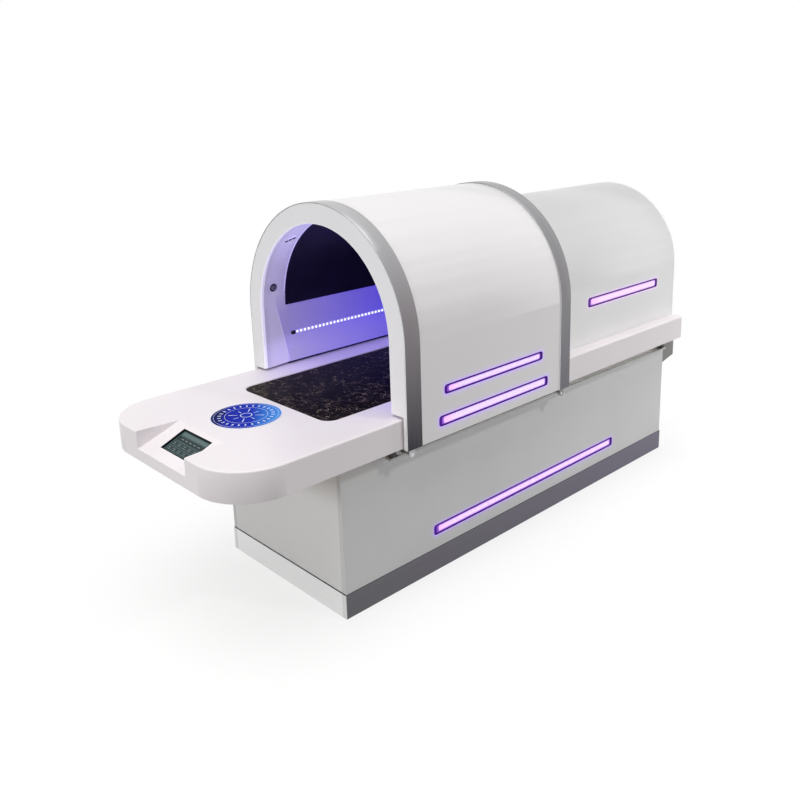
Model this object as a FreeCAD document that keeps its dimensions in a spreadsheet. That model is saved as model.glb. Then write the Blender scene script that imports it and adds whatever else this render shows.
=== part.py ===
import FreeCAD
import Part
import Sketcher
import os
import re

# Infrared sauna capsule: a lined hood on rollers slides back over a fixed foot hood.
# Frame: x runs from the head end to the foot end, y across, z up, floor at z = 0.
# Right is the side at negative y. All sizes are in millimetres and degrees.

SIZES = {
    # Deck, the moulded slab the user lies on
    "deck_length": 2200,
    "deck_width": 744,
    "deck_top": 600,
    "deck_thick": 90,
    "deck_wall": 10,
    "deck_round": 5,
    "head_corner": 164,
    "foot_corner": 16,
    "board_thick": 12,
    # Ramp with the touch screen at the head end
    "ramp_length": 131,
    "ramp_depth": 54,
    "ramp_front_half": 138,
    "ramp_back_half": 124,
    "ramp_shift": 7,
    "ramp_over": 10,
    "screen_width": 155,
    "screen_length": 87,
    "screen_back_gap": 16,
    "screen_shift": 18,
    "screen_wall": 3,
    "screen_sink": 6,
    "screen_depth": 16,
    "glass_thick": 2,
    "housing_thick": 12,
    # Round emblem on the deck
    "emblem_inset": 290,
    "emblem_radius": 104.6,
    "emblem_thick": 1.5,
    # Stone plate and what lies under it
    "plate_head_inset": 420,
    "plate_foot_inset": 140,
    "plate_width": 454,
    "plate_corner": 40,
    "plate_thick": 18,
    "plate_sink": 1.5,
    "plate_gap": 3,
    "film_thick": 1,
    # Base cabinet
    "base_head_inset": 395,
    "base_foot_inset": 29,
    "base_inset": 69,
    "panel_thick": 16,
    "plinth_height": 80,
    "plinth_proud": 2,
    "batten": 40,
    "foot_height": 40,
    "foot_pad_radius": 18,
    "foot_pad_thick": 10,
    "foot_stem_radius": 6,
    # Service box at the foot end
    "box_overhang": 62,
    "box_inset": 2,
    "box_wall": 2,
    "box_tall_inner": 120,
    "box_tall_outer": 102,
    "box_face_proud": 2,
    "inlet_shift": 150,
    "inlet_drop": 68,
    "inlet_width": 27,
    "inlet_tall": 20,
    "inlet_rim": 5,
    "inlet_depth": 24,
    "inlet_pin": 2,
    "switch_shift": 95,
    "switch_width": 24,
    "switch_tall": 32,
    "switch_wall": 3,
    "switch_depth": 20,
    "rocker_tilt": 8,
    "rocker_sink": 7,
    "trunnion_radius": 1.5,
    "box_screw_radius": 4,
    "box_screw_shank": 2,
    "box_screw_inset": 14,
    "supply_length": 300,
    "supply_width": 200,
    "supply_tall": 110,
    # Sliding front hood
    "hood_head_inset": 582,
    "hood_length": 793,
    "hood_clear": 16,
    "hood_wall": 4,
    "spring_height": 218,
    "hood_drop": 5,
    "skirt_gap": 4,
    "ring_thick": 12,
    "front_ring_width": 64,
    "rear_ring_gap": 6,
    "trim_thick": 2.5,
    "front_trim_width": 62,
    "rear_trim_width": 56,
    "liner_inset": 52,
    "liner_thick": 3,
    "liner_lift": 7,
    "reveal_depth": 109,
    "heater_thick": 3,
    "heater_end_gap": 10,
    "hoop_inset": 100,
    "hoop_size": 20,
    "hoop_gap": 16,
    "skirt_bar_tall": 30,
    "skirt_bar_thick": 4,
    "seal_width": 8,
    "seal_gap": 1,
    # Lit slots: bezel, diffuser and board
    "light_corner": 10,
    "light_rim": 5,
    "light_end": 6,
    "light_depth": 9,
    "light_sink": 1.5,
    "light_lens": 3,
    "light_board": 2,
    "hood_light_high_front": 162,
    "hood_light_high_back": 152,
    "hood_light_high_rise": 54,
    "hood_light_high_tall": 30,
    "hood_light_low_front": 17,
    "hood_light_low_back": 2,
    "hood_light_low_gap": 5,
    "hood_light_low_tall": 34,
    "base_light_front": 377,
    "base_light_back": 371,
    "base_light_rise": 64,
    "base_light_tall": 36,
    "rear_light_front": 262,
    "rear_light_back": 123,
    "rear_light_rise": 158,
    "rear_light_tall": 36,
    # Inside the hood: strips of light dots, push button, air vent
    "strip_front_gap": 131,
    "strip_rear_gap": 60,
    "strip_height": 112,
    "strip_tall": 10,
    "strip_thick": 2.4,
    "button_inset": 53,
    "button_angle": 12.8,
    "button_radius": 14,
    "button_cap_radius": 9,
    "button_depth": 24,
    "button_proud": 2.5,
    "cap_proud": 2.5,
    "cap_length": 12,
    "vent_inset": 63,
    "vent_angle": 49,
    "vent_tilt": 30,
    "vent_length": 40,
    "vent_width": 12,
    "vent_thick": 8,
    "vent_proud": 2,
    "vent_slot": 4,
    # Slide: rails, rollers, brackets and stops
    "rail_depth": 30,
    "rail_tall": 46,
    "rail_wall": 3,
    "rail_lip": 8,
    "rail_drop": 2,
    "rail_end": 12,
    "rail_foot_inset": 29.1,
    "roller_inset": 30,
    "roller_gap": 0.3,
    "roller_side_gap": 3,
    "axle_radius": 5,
    "axle_head_radius": 8,
    "axle_shoulder_radius": 7,
    "bracket_thick": 4,
    "bracket_width": 32,
    "bracket_tongue": 22,
    "stop_length": 15,
    "stop_gap": 0.5,
    # Fixed rear hood
    "hood_overlap": 65,
    "rear_inset": 68,
    "rear_wall": 4,
    "rear_rim_depth": 12,
    "rear_rim_width": 12,
    "rear_panel_thick": 10,
    "rear_heater_gap": 30,
    # Fits
    "fit_gap": 0.2,
    "board_gap": 1,
    "run_gap": 0.05,
}

doc = FreeCAD.newDocument("infrared_capsule")
sheet = doc.addObject("Spreadsheet::Sheet", "Sizes")
for row, (alias, number) in enumerate(SIZES.items(), start=1):
    sheet.set("A%d" % row, alias.replace("_", " "))
    sheet.set("B%d" % row, str(number))
    sheet.setAlias("B%d" % row, alias)
doc.recompute()

gauge = doc.addObject("App::FeaturePython", "Gauge")
gauge.addProperty("App::PropertyFloat", "reading")
nodes = []


def linked(formula):
    """Put the sheet's name before each size named in a formula."""
    def add_sheet(match):
        word = match.group()
        return "Sizes." + word if word in SIZES else word
    return re.sub(r"[a-z_][a-z_0-9]*", add_sheet, str(formula))


def number(formula):
    """Read a formula's present value, for first positions in a sketch."""
    gauge.setExpression("reading", linked(formula))
    gauge.recompute()
    return gauge.reading


def bind(item, prop, formula):
    item.setExpression(prop, linked(formula))


def put(item, x, y, z):
    bind(item, "Placement.Base.x", x)
    bind(item, "Placement.Base.y", y)
    bind(item, "Placement.Base.z", z)


def turn(item, axis, angle):
    turned = FreeCAD.Rotation(FreeCAD.Vector(*axis), 30)
    item.Placement = FreeCAD.Placement(FreeCAD.Vector(0, 0, 0), turned)
    bind(item, "Placement.Rotation.Angle", angle)


def box(label, length, width, height, x, y, z):
    item = doc.addObject("Part::Box", label)
    bind(item, "Length", length)
    bind(item, "Width", width)
    bind(item, "Height", height)
    put(item, x, y, z)
    return item


def drum(label, radius, height, x, y, z, axis=None, angle=None):
    """A cylinder standing up, or turned about an axis."""
    item = doc.addObject("Part::Cylinder", label)
    bind(item, "Radius", radius)
    bind(item, "Height", height)
    if axis:
        turn(item, axis, angle)
    put(item, x, y, z)
    return item


def cross_drum(label, radius, x, z, y_from, y_to):
    """A cylinder lying across the object, along y."""
    return drum(label, radius, f"({y_to}) - ({y_from})", x, y_from, z, (-1, 0, 0), "90")


def cut(label, base, tool):
    item = doc.addObject("Part::Cut", label)
    item.Base = base
    item.Tool = tool
    return item


def fuse(label, items):
    item = doc.addObject("Part::MultiFuse", label)
    item.Shapes = items
    item.Refine = True
    return item


def group(label, items):
    item = doc.addObject("Part::Compound", label)
    item.Links = items
    return item


def mirrored(item):
    other = doc.addObject("Part::Mirroring", item.Label + "_mirrored")
    other.Source = item
    other.Normal = FreeCAD.Vector(0, 1, 0)
    return other


def pair(label, item):
    """The same piece on both sides of the object."""
    return group(label, [item, mirrored(item)])


def node(item):
    nodes.append(item)
    return item


def draw(sketch, outline):
    """Add a closed outline. Each step is a corner, with a radius and turn if an arc leads to it."""
    spots = [FreeCAD.Vector(number(step[0]), number(step[1]), 0) for step in outline]
    edges = []
    for index, step in enumerate(outline):
        start = spots[index - 1]
        end = spots[index]
        if len(step) == 2:
            edge = sketch.addGeometry(Part.LineSegment(start, end), False)
            edges.append((edge, 1, 2))
            continue
        radius = number(step[2])
        turn_left = step[3]
        chord = end - start
        side = FreeCAD.Vector(-chord.y, chord.x, 0).normalize()
        reach = max(radius ** 2 - chord.Length ** 2 / 4, 0) ** 0.5
        centre = start + chord * 0.5 + side * (reach if turn_left else -reach)
        first, last = (start, end) if turn_left else (end, start)
        circle = Part.Circle(centre, FreeCAD.Vector(0, 0, 1), radius)
        arc = Part.ArcOfCircle(circle, circle.parameter(first), circle.parameter(last))
        edge = sketch.addGeometry(arc, False)
        edges.append((edge, 1, 2) if turn_left else (edge, 2, 1))
    for index, step in enumerate(outline):
        edge, begin, finish = edges[index]
        before = edges[index - 1]
        sketch.addConstraint(Sketcher.Constraint("Coincident", before[0], before[2], edge, begin))
        for kind, formula, spot in (("DistanceX", step[0], spots[index].x),
                                    ("DistanceY", step[1], spots[index].y)):
            place = sketch.addConstraint(Sketcher.Constraint(kind, -1, 1, edge, finish, spot))
            bind(sketch, "Constraints[%d]" % place, formula)
        if len(step) == 4:
            place = sketch.addConstraint(Sketcher.Constraint("Radius", edge, number(step[2])))
            bind(sketch, "Constraints[%d]" % place, step[2])


def profile(body, plane, offset, outlines):
    sketch = body.newObject("Sketcher::SketchObject", body.Label + "_profile")
    support = [item for item in body.Origin.OriginFeatures if item.Role == plane][0]
    sketch.AttachmentSupport = [(support, "")]
    sketch.MapMode = "FlatFace"
    bind(sketch, "AttachmentOffset.Base.z", offset)
    for outline in outlines:
        draw(sketch, outline)
    return sketch


def padded(label, plane, offset, length, outlines):
    """A body padded from one sketch, along x, down y or up z by the plane."""
    body = doc.addObject("PartDesign::Body", label)
    pad = body.newObject("PartDesign::Pad", label + "_pad")
    pad.Profile = profile(body, plane, offset, outlines)
    bind(pad, "Length", length)
    return body


def along_x(label, x_from, x_to, *outlines):
    return padded(label, "YZ_Plane", x_from, f"({x_to}) - ({x_from})", outlines)


def along_y(label, y_from, y_to, *outlines):
    return padded(label, "XZ_Plane", f"-({y_to})", f"({y_to}) - ({y_from})", outlines)


def along_z(label, z_from, z_to, *outlines):
    return padded(label, "XY_Plane", z_from, f"({z_to}) - ({z_from})", outlines)


def arch(outer, inner, low):
    """A hoop with straight legs down to a level."""
    return [
        (f"-({outer})", low),
        (f"-({outer})", SPRING),
        ("0", f"{SPRING} + ({outer})", outer, False),
        (outer, SPRING, outer, False),
        (outer, low),
        (inner, low),
        (inner, SPRING),
        ("0", f"{SPRING} + ({inner})", inner, True),
        (f"-({inner})", SPRING, inner, True),
        (f"-({inner})", low),
    ]


def half_hoop(outer, inner):
    """A half round hoop that stops at the spring line."""
    return [
        (f"-({outer})", SPRING),
        ("0", f"{SPRING} + ({outer})", outer, False),
        (outer, SPRING, outer, False),
        (inner, SPRING),
        ("0", f"{SPRING} + ({inner})", inner, True),
        (f"-({inner})", SPRING, inner, True),
    ]


def stepped_arch(inner):
    """The closing ring of the front hood: legs outside the deck hang lower than those above it."""
    clear = "(deck_width / 2 + skirt_gap)"
    return [
        (f"-{HOOD_R}", HOOD_LOW),
        (f"-{HOOD_R}", SPRING),
        ("0", f"{SPRING} + {HOOD_R}", HOOD_R, False),
        (HOOD_R, SPRING, HOOD_R, False),
        (HOOD_R, HOOD_LOW),
        (clear, HOOD_LOW),
        (clear, LINER_LOW),
        (inner, LINER_LOW),
        (inner, SPRING),
        ("0", f"{SPRING} + {inner}", inner, True),
        (f"-{inner}", SPRING, inner, True),
        (f"-{inner}", LINER_LOW),
        (f"-{clear}", LINER_LOW),
        (f"-{clear}", HOOD_LOW),
    ]


def plan(x_from, x_to, half, head_radius, foot_radius):
    """A plan outline with round corners."""
    return [
        (f"{x_from} + {head_radius}", f"-{half}", head_radius, True),
        (f"{x_to} - {foot_radius}", f"-{half}"),
        (x_to, f"-{half} + {foot_radius}", foot_radius, True),
        (x_to, f"{half} - {foot_radius}"),
        (f"{x_to} - {foot_radius}", half, foot_radius, True),
        (f"{x_from} + {head_radius}", half),
        (x_from, f"{half} - {head_radius}", head_radius, True),
        (x_from, f"-{half} + {head_radius}"),
    ]


def slot(x_from, x_to, z_mid, tall, inset, end):
    """An outline with round corners, drawn in by an inset all round and further at the ends."""
    corner = f"(light_corner - {inset})"
    left = f"({x_from} + {inset} + {end})"
    right = f"({x_to} - {inset} - {end})"
    low = f"({z_mid} - {tall} / 2 + {inset})"
    high = f"({z_mid} + {tall} / 2 - {inset})"
    return [
        (f"{right} - {corner}", low),
        (right, f"{low} + {corner}", corner, True),
        (right, f"{high} - {corner}"),
        (f"{right} - {corner}", high, corner, True),
        (f"{left} + {corner}", high),
        (left, f"{high} - {corner}", corner, True),
        (left, f"{low} + {corner}"),
        (f"{left} + {corner}", low, corner, True),
    ]


def light_outline(name, inset, end="0"):
    return slot(*LIGHTS[name], name + "_tall", inset, end)


def light_opening(name, face):
    """The slot through both side walls."""
    return along_y(name + "_opening", f"-({face}) - 1", f"({face}) + 1", light_outline(name, "0"))


def light_pieces(name, face):
    """Bezel, diffuser and board of a lit slot on the left side."""
    bezel = along_y(name + "_bezel", f"{face} - light_depth", face,
                    light_outline(name, "fit_gap"), light_outline(name, "light_rim", "light_end"))
    lens = along_y(name + "_lens", f"{face} - light_sink - light_lens", f"{face} - light_sink",
                   light_outline(name, "(light_rim + fit_gap)", "light_end"))
    back = f"({face} - light_depth - fit_gap)"
    board = along_y(name + "_board", f"{back} - light_board", back,
                    light_outline(name, "(2 * fit_gap)"))
    return bezel, lens, board


def on_ramp(label, length, width, height, back, shift, low):
    """A box lying in the slope of the ramp, placed from the ramp's back edge and its face."""
    item = doc.addObject("Part::Box", label)
    bind(item, "Length", length)
    bind(item, "Width", width)
    bind(item, "Height", height)
    turn(item, (0, -1, 0), "atan(ramp_depth / ramp_length)")
    inward = f"(-({back}) - ({length}))"
    slope = "sqrt(ramp_length ^ 2 + ramp_depth ^ 2)"
    put(item,
        f"{HEAD} + ramp_length + ({inward} * ramp_length - ({low}) * ramp_depth) / {slope}",
        f"-screen_shift - ({width}) / 2 + ({shift})",
        f"deck_top + ({inward} * ramp_depth + ({low}) * ramp_length) / {slope}")
    return item


# Levels and stations used by many pieces
HEAD = "(-(deck_length + box_overhang) / 2)"
FOOT = f"({HEAD} + deck_length)"
TAIL = f"({FOOT} + box_overhang)"
BASE_A = f"({HEAD} + base_head_inset)"
BASE_B = f"({FOOT} - base_foot_inset)"
BASE_HALF = "(deck_width / 2 - base_inset)"
DECK_LOW = "(deck_top - deck_thick)"
SPRING = "(deck_top + spring_height)"
HOOD_A = f"({HEAD} + hood_head_inset)"
HOOD_B = f"({HOOD_A} + hood_length)"
HOOD_LOW = f"({DECK_LOW} - hood_drop)"
LINER_LOW = "(deck_top + liner_lift)"
HOOD_R = "(deck_width / 2 + hood_clear)"
SKIN_IN = f"({HOOD_R} - hood_wall)"
FRONT_RING_R = f"({HOOD_R} - front_ring_width)"
LINER_R = f"({HOOD_R} - liner_inset)"
FRONT_HOOP = f"({HOOD_A} + hoop_inset)"
BACK_HOOP = f"({HOOD_B} - hoop_inset - hoop_size)"
REAR_R = f"({HOOD_R} - rear_inset)"
REAR_RING_R = f"({REAR_R} + rear_ring_gap)"
REAR_A = f"({HOOD_B} - hood_overlap)"
REAR_SHELL_A = f"({REAR_A} + rear_rim_depth)"
REAR_SHELL_B = f"({FOOT} - rear_panel_thick)"
PLATE_TOP = "(deck_top - plate_sink)"
PLATE_A = f"({HEAD} + plate_head_inset)"
PLATE_B = f"({FOOT} - plate_foot_inset)"
SKIRT_BAR_LOW = f"({HOOD_LOW} + 1)"
SKIRT_BAR_TOP = f"({SKIRT_BAR_LOW} + skirt_bar_tall)"
BOX_TOP = f"({DECK_LOW} - rail_drop)"
INLET_Z = f"({BOX_TOP} - inlet_drop)"

# Both ends and the middle height of each lit slot
LIGHTS = {
    "hood_light_high": (f"({HOOD_A} + hood_light_high_front)", f"({HOOD_B} - hood_light_high_back)",
                        "(deck_top + hood_light_high_rise)"),
    "hood_light_low": (f"({FRONT_HOOP} + hoop_size + hood_light_low_front)",
                       f"({BACK_HOOP} - hood_light_low_back)",
                       f"({SKIRT_BAR_TOP} + hood_light_low_gap + hood_light_low_tall / 2)"),
    "base_light": (f"({BASE_A} + base_light_front)", f"({BASE_B} - base_light_back)",
                   "(plinth_height + base_light_rise)"),
    "rear_light": (f"({REAR_SHELL_A} + rear_light_front)", f"({REAR_SHELL_B} - rear_light_back)",
                   "(deck_top + rear_light_rise)"),
}

# Deck shell: rounded slab, hollow from below, with the plate opening and the screen ramp
deck_slab = along_z("deck_slab", DECK_LOW, "deck_top",
                    plan(HEAD, FOOT, "(deck_width / 2)", "head_corner", "foot_corner"))
doc.recompute()
slab_pad = deck_slab.Tip
top_edges = []
for place, edge in enumerate(slab_pad.Shape.Edges, start=1):
    if all(abs(vertex.Z - SIZES["deck_top"]) < 0.001 for vertex in edge.Vertexes):
        top_edges.append("Edge%d" % place)
edge_round = deck_slab.newObject("PartDesign::Fillet", "deck_edge")
edge_round.Base = (slab_pad, top_edges)
bind(edge_round, "Radius", "deck_round")
deck_hollow = along_z("deck_hollow", f"{DECK_LOW} - deck_wall", "deck_top - deck_wall",
                      plan(f"({HEAD} + deck_wall)", f"({FOOT} - deck_wall)",
                           "(deck_width / 2 - deck_wall)", "(head_corner - deck_wall)",
                           "(foot_corner - deck_wall)"))
plate_hole = along_z("plate_hole", "deck_top - 2 * deck_wall", "deck_top + deck_wall",
                     plan(f"({PLATE_A} - plate_gap)", f"({PLATE_B} + plate_gap)",
                          "(plate_width / 2 + plate_gap)", "(plate_corner + plate_gap)",
                          "(plate_corner + plate_gap)"))
ramp_block = doc.addObject("Part::Wedge", "ramp_block")
bind(ramp_block, "Ymin", "deck_round")
bind(ramp_block, "Ymax", "ramp_length + deck_wall")
bind(ramp_block, "Xmin", "-ramp_front_half - deck_wall")
bind(ramp_block, "Xmax", "ramp_front_half + deck_wall")
bind(ramp_block, "X2min", "-ramp_back_half - deck_wall")
bind(ramp_block, "X2max", "ramp_back_half + deck_wall")
bind(ramp_block, "Zmin", "deck_top - ramp_depth - deck_wall")
bind(ramp_block, "Zmax", "deck_top - deck_round")
bind(ramp_block, "Z2min", "deck_top - deck_wall")
bind(ramp_block, "Z2max", "deck_top - deck_round")
ramp_notch = doc.addObject("Part::Wedge", "ramp_notch")
NOTCH_HALF = "(ramp_front_half + (ramp_front_half - ramp_back_half) * ramp_over / ramp_length)"
bind(ramp_notch, "Ymin", "-ramp_over")
bind(ramp_notch, "Ymax", "ramp_length")
bind(ramp_notch, "Xmin", f"-{NOTCH_HALF}")
bind(ramp_notch, "Xmax", NOTCH_HALF)
bind(ramp_notch, "X2min", "-ramp_back_half")
bind(ramp_notch, "X2max", "ramp_back_half")
bind(ramp_notch, "Zmin", "deck_top - ramp_depth * (1 + ramp_over / ramp_length)")
bind(ramp_notch, "Zmax", "deck_top + ramp_over")
bind(ramp_notch, "Z2min", "deck_top")
bind(ramp_notch, "Z2max", "deck_top + ramp_over")
for wedge in (ramp_block, ramp_notch):
    turn(wedge, (0, 0, -1), "90")
    put(wedge, HEAD, "-ramp_shift", "0")
screen_hole = on_ramp("screen_hole", "screen_length", "screen_width", "4 * deck_wall",
                      "screen_back_gap", "0", "-3 * deck_wall")
deck_solid = fuse("deck_solid", [cut("deck_tray", deck_slab, deck_hollow), ramp_block])
deck_openings = fuse("deck_openings", [ramp_notch, screen_hole])
node(cut("deck_shell", cut("deck_with_hole", deck_solid, plate_hole), deck_openings))

# Board that closes the deck from below
BOARD_INSET = "(deck_wall + board_gap)"
node(along_z("deck_board", DECK_LOW, f"{DECK_LOW} + board_thick",
             plan(f"({HEAD} + {BOARD_INSET})", f"({FOOT} - {BOARD_INSET})",
                  f"(deck_width / 2 - {BOARD_INSET})", f"(head_corner - {BOARD_INSET})",
                  f"(foot_corner - {BOARD_INSET})")))

# Screen: bezel set in the ramp, sunken glass and the housing behind it
bezel_block = on_ramp("bezel_block", "screen_length - 2 * fit_gap", "screen_width - 2 * fit_gap",
                      "screen_depth", "screen_back_gap + fit_gap", "0", "-screen_depth")
GLASS_LENGTH = "(screen_length - 2 * screen_wall)"
GLASS_WIDTH = "(screen_width - 2 * screen_wall)"
bezel_hole = on_ramp("bezel_hole", GLASS_LENGTH, GLASS_WIDTH, "2 * screen_depth",
                     "screen_back_gap + screen_wall", "0", "-1.5 * screen_depth")
node(cut("screen_bezel", bezel_block, bezel_hole))
node(on_ramp("screen_glass", f"{GLASS_LENGTH} - 2 * fit_gap", f"{GLASS_WIDTH} - 2 * fit_gap",
             "glass_thick", "screen_back_gap + screen_wall + fit_gap", "0",
             "-screen_sink - glass_thick"))
node(on_ramp("screen_housing", f"{GLASS_LENGTH} - 4 * fit_gap", f"{GLASS_WIDTH} - 4 * fit_gap",
             "housing_thick", "screen_back_gap + screen_wall + 2 * fit_gap", "0",
             "-screen_sink - glass_thick - housing_thick"))

# Emblem disc on the deck
node(drum("emblem_disc", "emblem_radius", "emblem_thick", f"{HEAD} + emblem_inset", "0", "deck_top"))

# Heated stone plate, its seal, the film under it and the insulation
node(along_z("stone_plate", f"{PLATE_TOP} - plate_thick", PLATE_TOP,
             plan(PLATE_A, PLATE_B, "(plate_width / 2)", "plate_corner", "plate_corner")))
SEAL_OUT = "(plate_gap - fit_gap)"
node(along_z("plate_seal", "deck_top - deck_wall", PLATE_TOP,
             plan(f"({PLATE_A} - {SEAL_OUT})", f"({PLATE_B} + {SEAL_OUT})",
                  f"(plate_width / 2 + {SEAL_OUT})", f"(plate_corner + {SEAL_OUT})",
                  f"(plate_corner + {SEAL_OUT})"),
             plan(f"({PLATE_A} - fit_gap)", f"({PLATE_B} + fit_gap)", "(plate_width / 2 + fit_gap)",
                  "(plate_corner + fit_gap)", "(plate_corner + fit_gap)")))
FILM_LOW = f"({PLATE_TOP} - plate_thick - film_thick)"
node(box("heating_film", f"{PLATE_B} - {PLATE_A} - 2 * plate_corner", "plate_width - plate_corner",
         "film_thick", f"{PLATE_A} + plate_corner", "-(plate_width - plate_corner) / 2", FILM_LOW))
MAT_LOW = f"({DECK_LOW} + board_thick)"
node(box("insulation_mat", f"{PLATE_B} - {PLATE_A}", "plate_width", f"{FILM_LOW} - {MAT_LOW}",
         PLATE_A, "-plate_width / 2", MAT_LOW))

# Base cabinet: battens, feet, panels and plinths
FRAME_HALF = f"({BASE_HALF} - panel_thick)"
FRAME_A = f"({BASE_A} + panel_thick)"
FRAME_B = f"({BASE_B} - panel_thick)"
BATTEN_TOP = f"({DECK_LOW} - batten)"
BATTEN_LOW = "(plinth_height - batten / 2)"
stations = (FRAME_A, f"(({FRAME_A} + {FRAME_B} - batten) / 2)", f"({FRAME_B} - batten)")
battens = []
feet = []
for level in (BATTEN_LOW, BATTEN_TOP):
    for side in (f"-{FRAME_HALF}", f"{FRAME_HALF} - batten"):
        battens.append(box("long_batten", f"{FRAME_B} - {FRAME_A}", "batten", "batten",
                           FRAME_A, side, level))
    for station in stations:
        battens.append(box("cross_batten", "batten", f"2 * {FRAME_HALF}", "batten",
                           station, f"-{FRAME_HALF}", level))
for station in stations:
    for side in (f"-{FRAME_HALF}", f"{FRAME_HALF} - batten"):
        battens.append(box("post", "batten", "batten", f"{DECK_LOW} - foot_height",
                           station, side, "foot_height"))
        middle = (f"{station} + batten / 2", f"{side} + batten / 2")
        pad = drum("foot_pad", "foot_pad_radius", "foot_pad_thick", *middle, "0")
        stem = drum("foot_stem", "foot_stem_radius", "foot_height", *middle, "0")
        feet.append(fuse("levelling_foot", [pad, stem]))
node(fuse("base_frame", battens))
node(group("levelling_feet", feet))
base_opening = light_opening("base_light", BASE_HALF)
for label, y_from in (("right_side_panel", f"-{BASE_HALF}"),
                      ("left_side_panel", f"{BASE_HALF} - panel_thick")):
    board = box(label + "_board", f"{BASE_B} - {BASE_A}", "panel_thick",
                f"{DECK_LOW} - plinth_height", BASE_A, y_from, "plinth_height")
    node(cut(label, board, base_opening))
for label, x_from in (("head_end_panel", BASE_A), ("foot_end_panel", FRAME_B)):
    node(box(label, "panel_thick", f"2 * {FRAME_HALF}", f"{DECK_LOW} - plinth_height",
             x_from, f"-{FRAME_HALF}", "plinth_height"))
PLINTH_A = f"({BASE_A} - plinth_proud)"
PLINTH_B = f"({BASE_B} + plinth_proud)"
PLINTH_HALF = f"({BASE_HALF} + plinth_proud)"
PLINTH_THICK = "(panel_thick + plinth_proud)"
node(pair("side_plinths", box("left_plinth", f"{PLINTH_B} - {PLINTH_A}", PLINTH_THICK,
                              "plinth_height", PLINTH_A, f"{PLINTH_HALF} - {PLINTH_THICK}", "0")))
plinth_ends = []
for x_from in (PLINTH_A, f"{PLINTH_B} - {PLINTH_THICK}"):
    plinth_ends.append(box("end_plinth", PLINTH_THICK, f"2 * ({PLINTH_HALF} - {PLINTH_THICK})",
                           "plinth_height", x_from, f"-{PLINTH_HALF} + {PLINTH_THICK}", "0"))
node(group("end_plinths", plinth_ends))
base_bezel, base_lens, base_board = light_pieces("base_light", BASE_HALF)
node(pair("base_light_bezels", base_bezel))
node(pair("base_light_lenses", base_lens))
node(pair("base_light_boards", base_board))

# Power supply on the lower battens
node(box("power_supply", "supply_length", "supply_width", "supply_tall",
         f"{FRAME_B} - supply_length", "-supply_width / 2", f"{BATTEN_LOW} + batten"))

# Service box at the foot end, with the mains inlet and the rocker switch
FACE = f"({TAIL} - box_face_proud)"
BOX_HALF = f"({BASE_HALF} - box_inset)"
BOX_LOW_INNER = f"({BOX_TOP} - box_tall_inner)"
BOX_LOW_OUTER = f"({BOX_TOP} - box_tall_outer)"
box_solid = along_y("box_solid", f"-{BOX_HALF}", BOX_HALF, [
    (BASE_B, BOX_LOW_INNER), (FACE, BOX_LOW_OUTER), (FACE, BOX_TOP), (BASE_B, BOX_TOP)])
box_hollow = along_y("box_hollow", f"-({BOX_HALF} - box_wall)", f"{BOX_HALF} - box_wall", [
    (f"{BASE_B} - box_wall", f"{BOX_LOW_INNER} + box_wall"),
    (f"{FACE} - box_wall", f"{BOX_LOW_OUTER} + box_wall"),
    (f"{FACE} - box_wall", f"{BOX_TOP} - box_wall"),
    (f"{BASE_B} - box_wall", f"{BOX_TOP} - box_wall")])
SWITCH_Y = "(-switch_shift)"
INLET_Y = "(-inlet_shift)"


def face_box(label, width, tall, y_mid, x_from, x_to):
    """A box through the service box face, centred on the inlet level."""
    return box(label, f"({x_to}) - ({x_from})", width, tall, x_from, f"{y_mid} - ({width}) / 2",
               f"{INLET_Z} - ({tall}) / 2")


def face_drum(label, radius, y_mid, z_mid, x_from, x_to):
    return drum(label, radius, f"({x_to}) - ({x_from})", x_from, y_mid, z_mid, (0, 1, 0), "90")


INLET_OUT_WIDTH = "(inlet_width + 2 * inlet_rim)"
INLET_OUT_TALL = "(inlet_tall + 2 * inlet_rim)"
BEHIND = f"({FACE} - 4 * box_wall)"
box_holes = [face_box("inlet_hole", f"{INLET_OUT_WIDTH} - inlet_rim", f"{INLET_OUT_TALL} - inlet_rim",
                      INLET_Y, BEHIND, TAIL),
             face_box("switch_hole", "switch_width", "switch_tall", SWITCH_Y, BEHIND, TAIL)]
box_screws = []
for y_mid in (f"-({BOX_HALF} - box_screw_inset)", f"{BOX_HALF} - box_screw_inset"):
    for z_mid in (f"{BOX_LOW_OUTER} + box_screw_inset", f"{BOX_TOP} - box_screw_inset"):
        head = face_drum("screw_head", "box_screw_radius", y_mid, z_mid, FACE, TAIL)
        shank = face_drum("screw_shank", "box_screw_shank", y_mid, z_mid, BEHIND, TAIL)
        box_screws.append(fuse("box_screw", [head, shank]))
        box_holes.append(face_drum("screw_hole", "box_screw_shank + fit_gap", y_mid, z_mid,
                                   BEHIND, TAIL))
node(cut("service_box", cut("box_shell", box_solid, box_hollow), fuse("box_openings", box_holes)))
node(group("box_screws", box_screws))
inlet_flange = face_box("inlet_flange", INLET_OUT_WIDTH, INLET_OUT_TALL, INLET_Y, FACE, TAIL)
inlet_block = face_box("inlet_block", f"{INLET_OUT_WIDTH} - inlet_rim - 2 * fit_gap",
                       f"{INLET_OUT_TALL} - inlet_rim - 2 * fit_gap", INLET_Y,
                       f"{TAIL} - inlet_depth", TAIL)
inlet_well = face_box("inlet_well", "inlet_width", "inlet_tall", INLET_Y,
                      f"{TAIL} - inlet_depth + inlet_rim", f"{TAIL} + 1")
inlet_pins = []
for shift in ("-inlet_width / 4", "0", "inlet_width / 4"):
    inlet_pins.append(face_box("inlet_pin", "inlet_pin", "2 * inlet_pin", f"({INLET_Y} + {shift})",
                               f"{TAIL} - inlet_depth + inlet_rim - 1", f"{TAIL} - inlet_rim"))
inlet_socket = cut("inlet_socket", fuse("inlet_solid", [inlet_flange, inlet_block]), inlet_well)
node(fuse("power_inlet", [inlet_socket] + inlet_pins))
PIVOT_X = f"({TAIL} - rocker_sink)"
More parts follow.
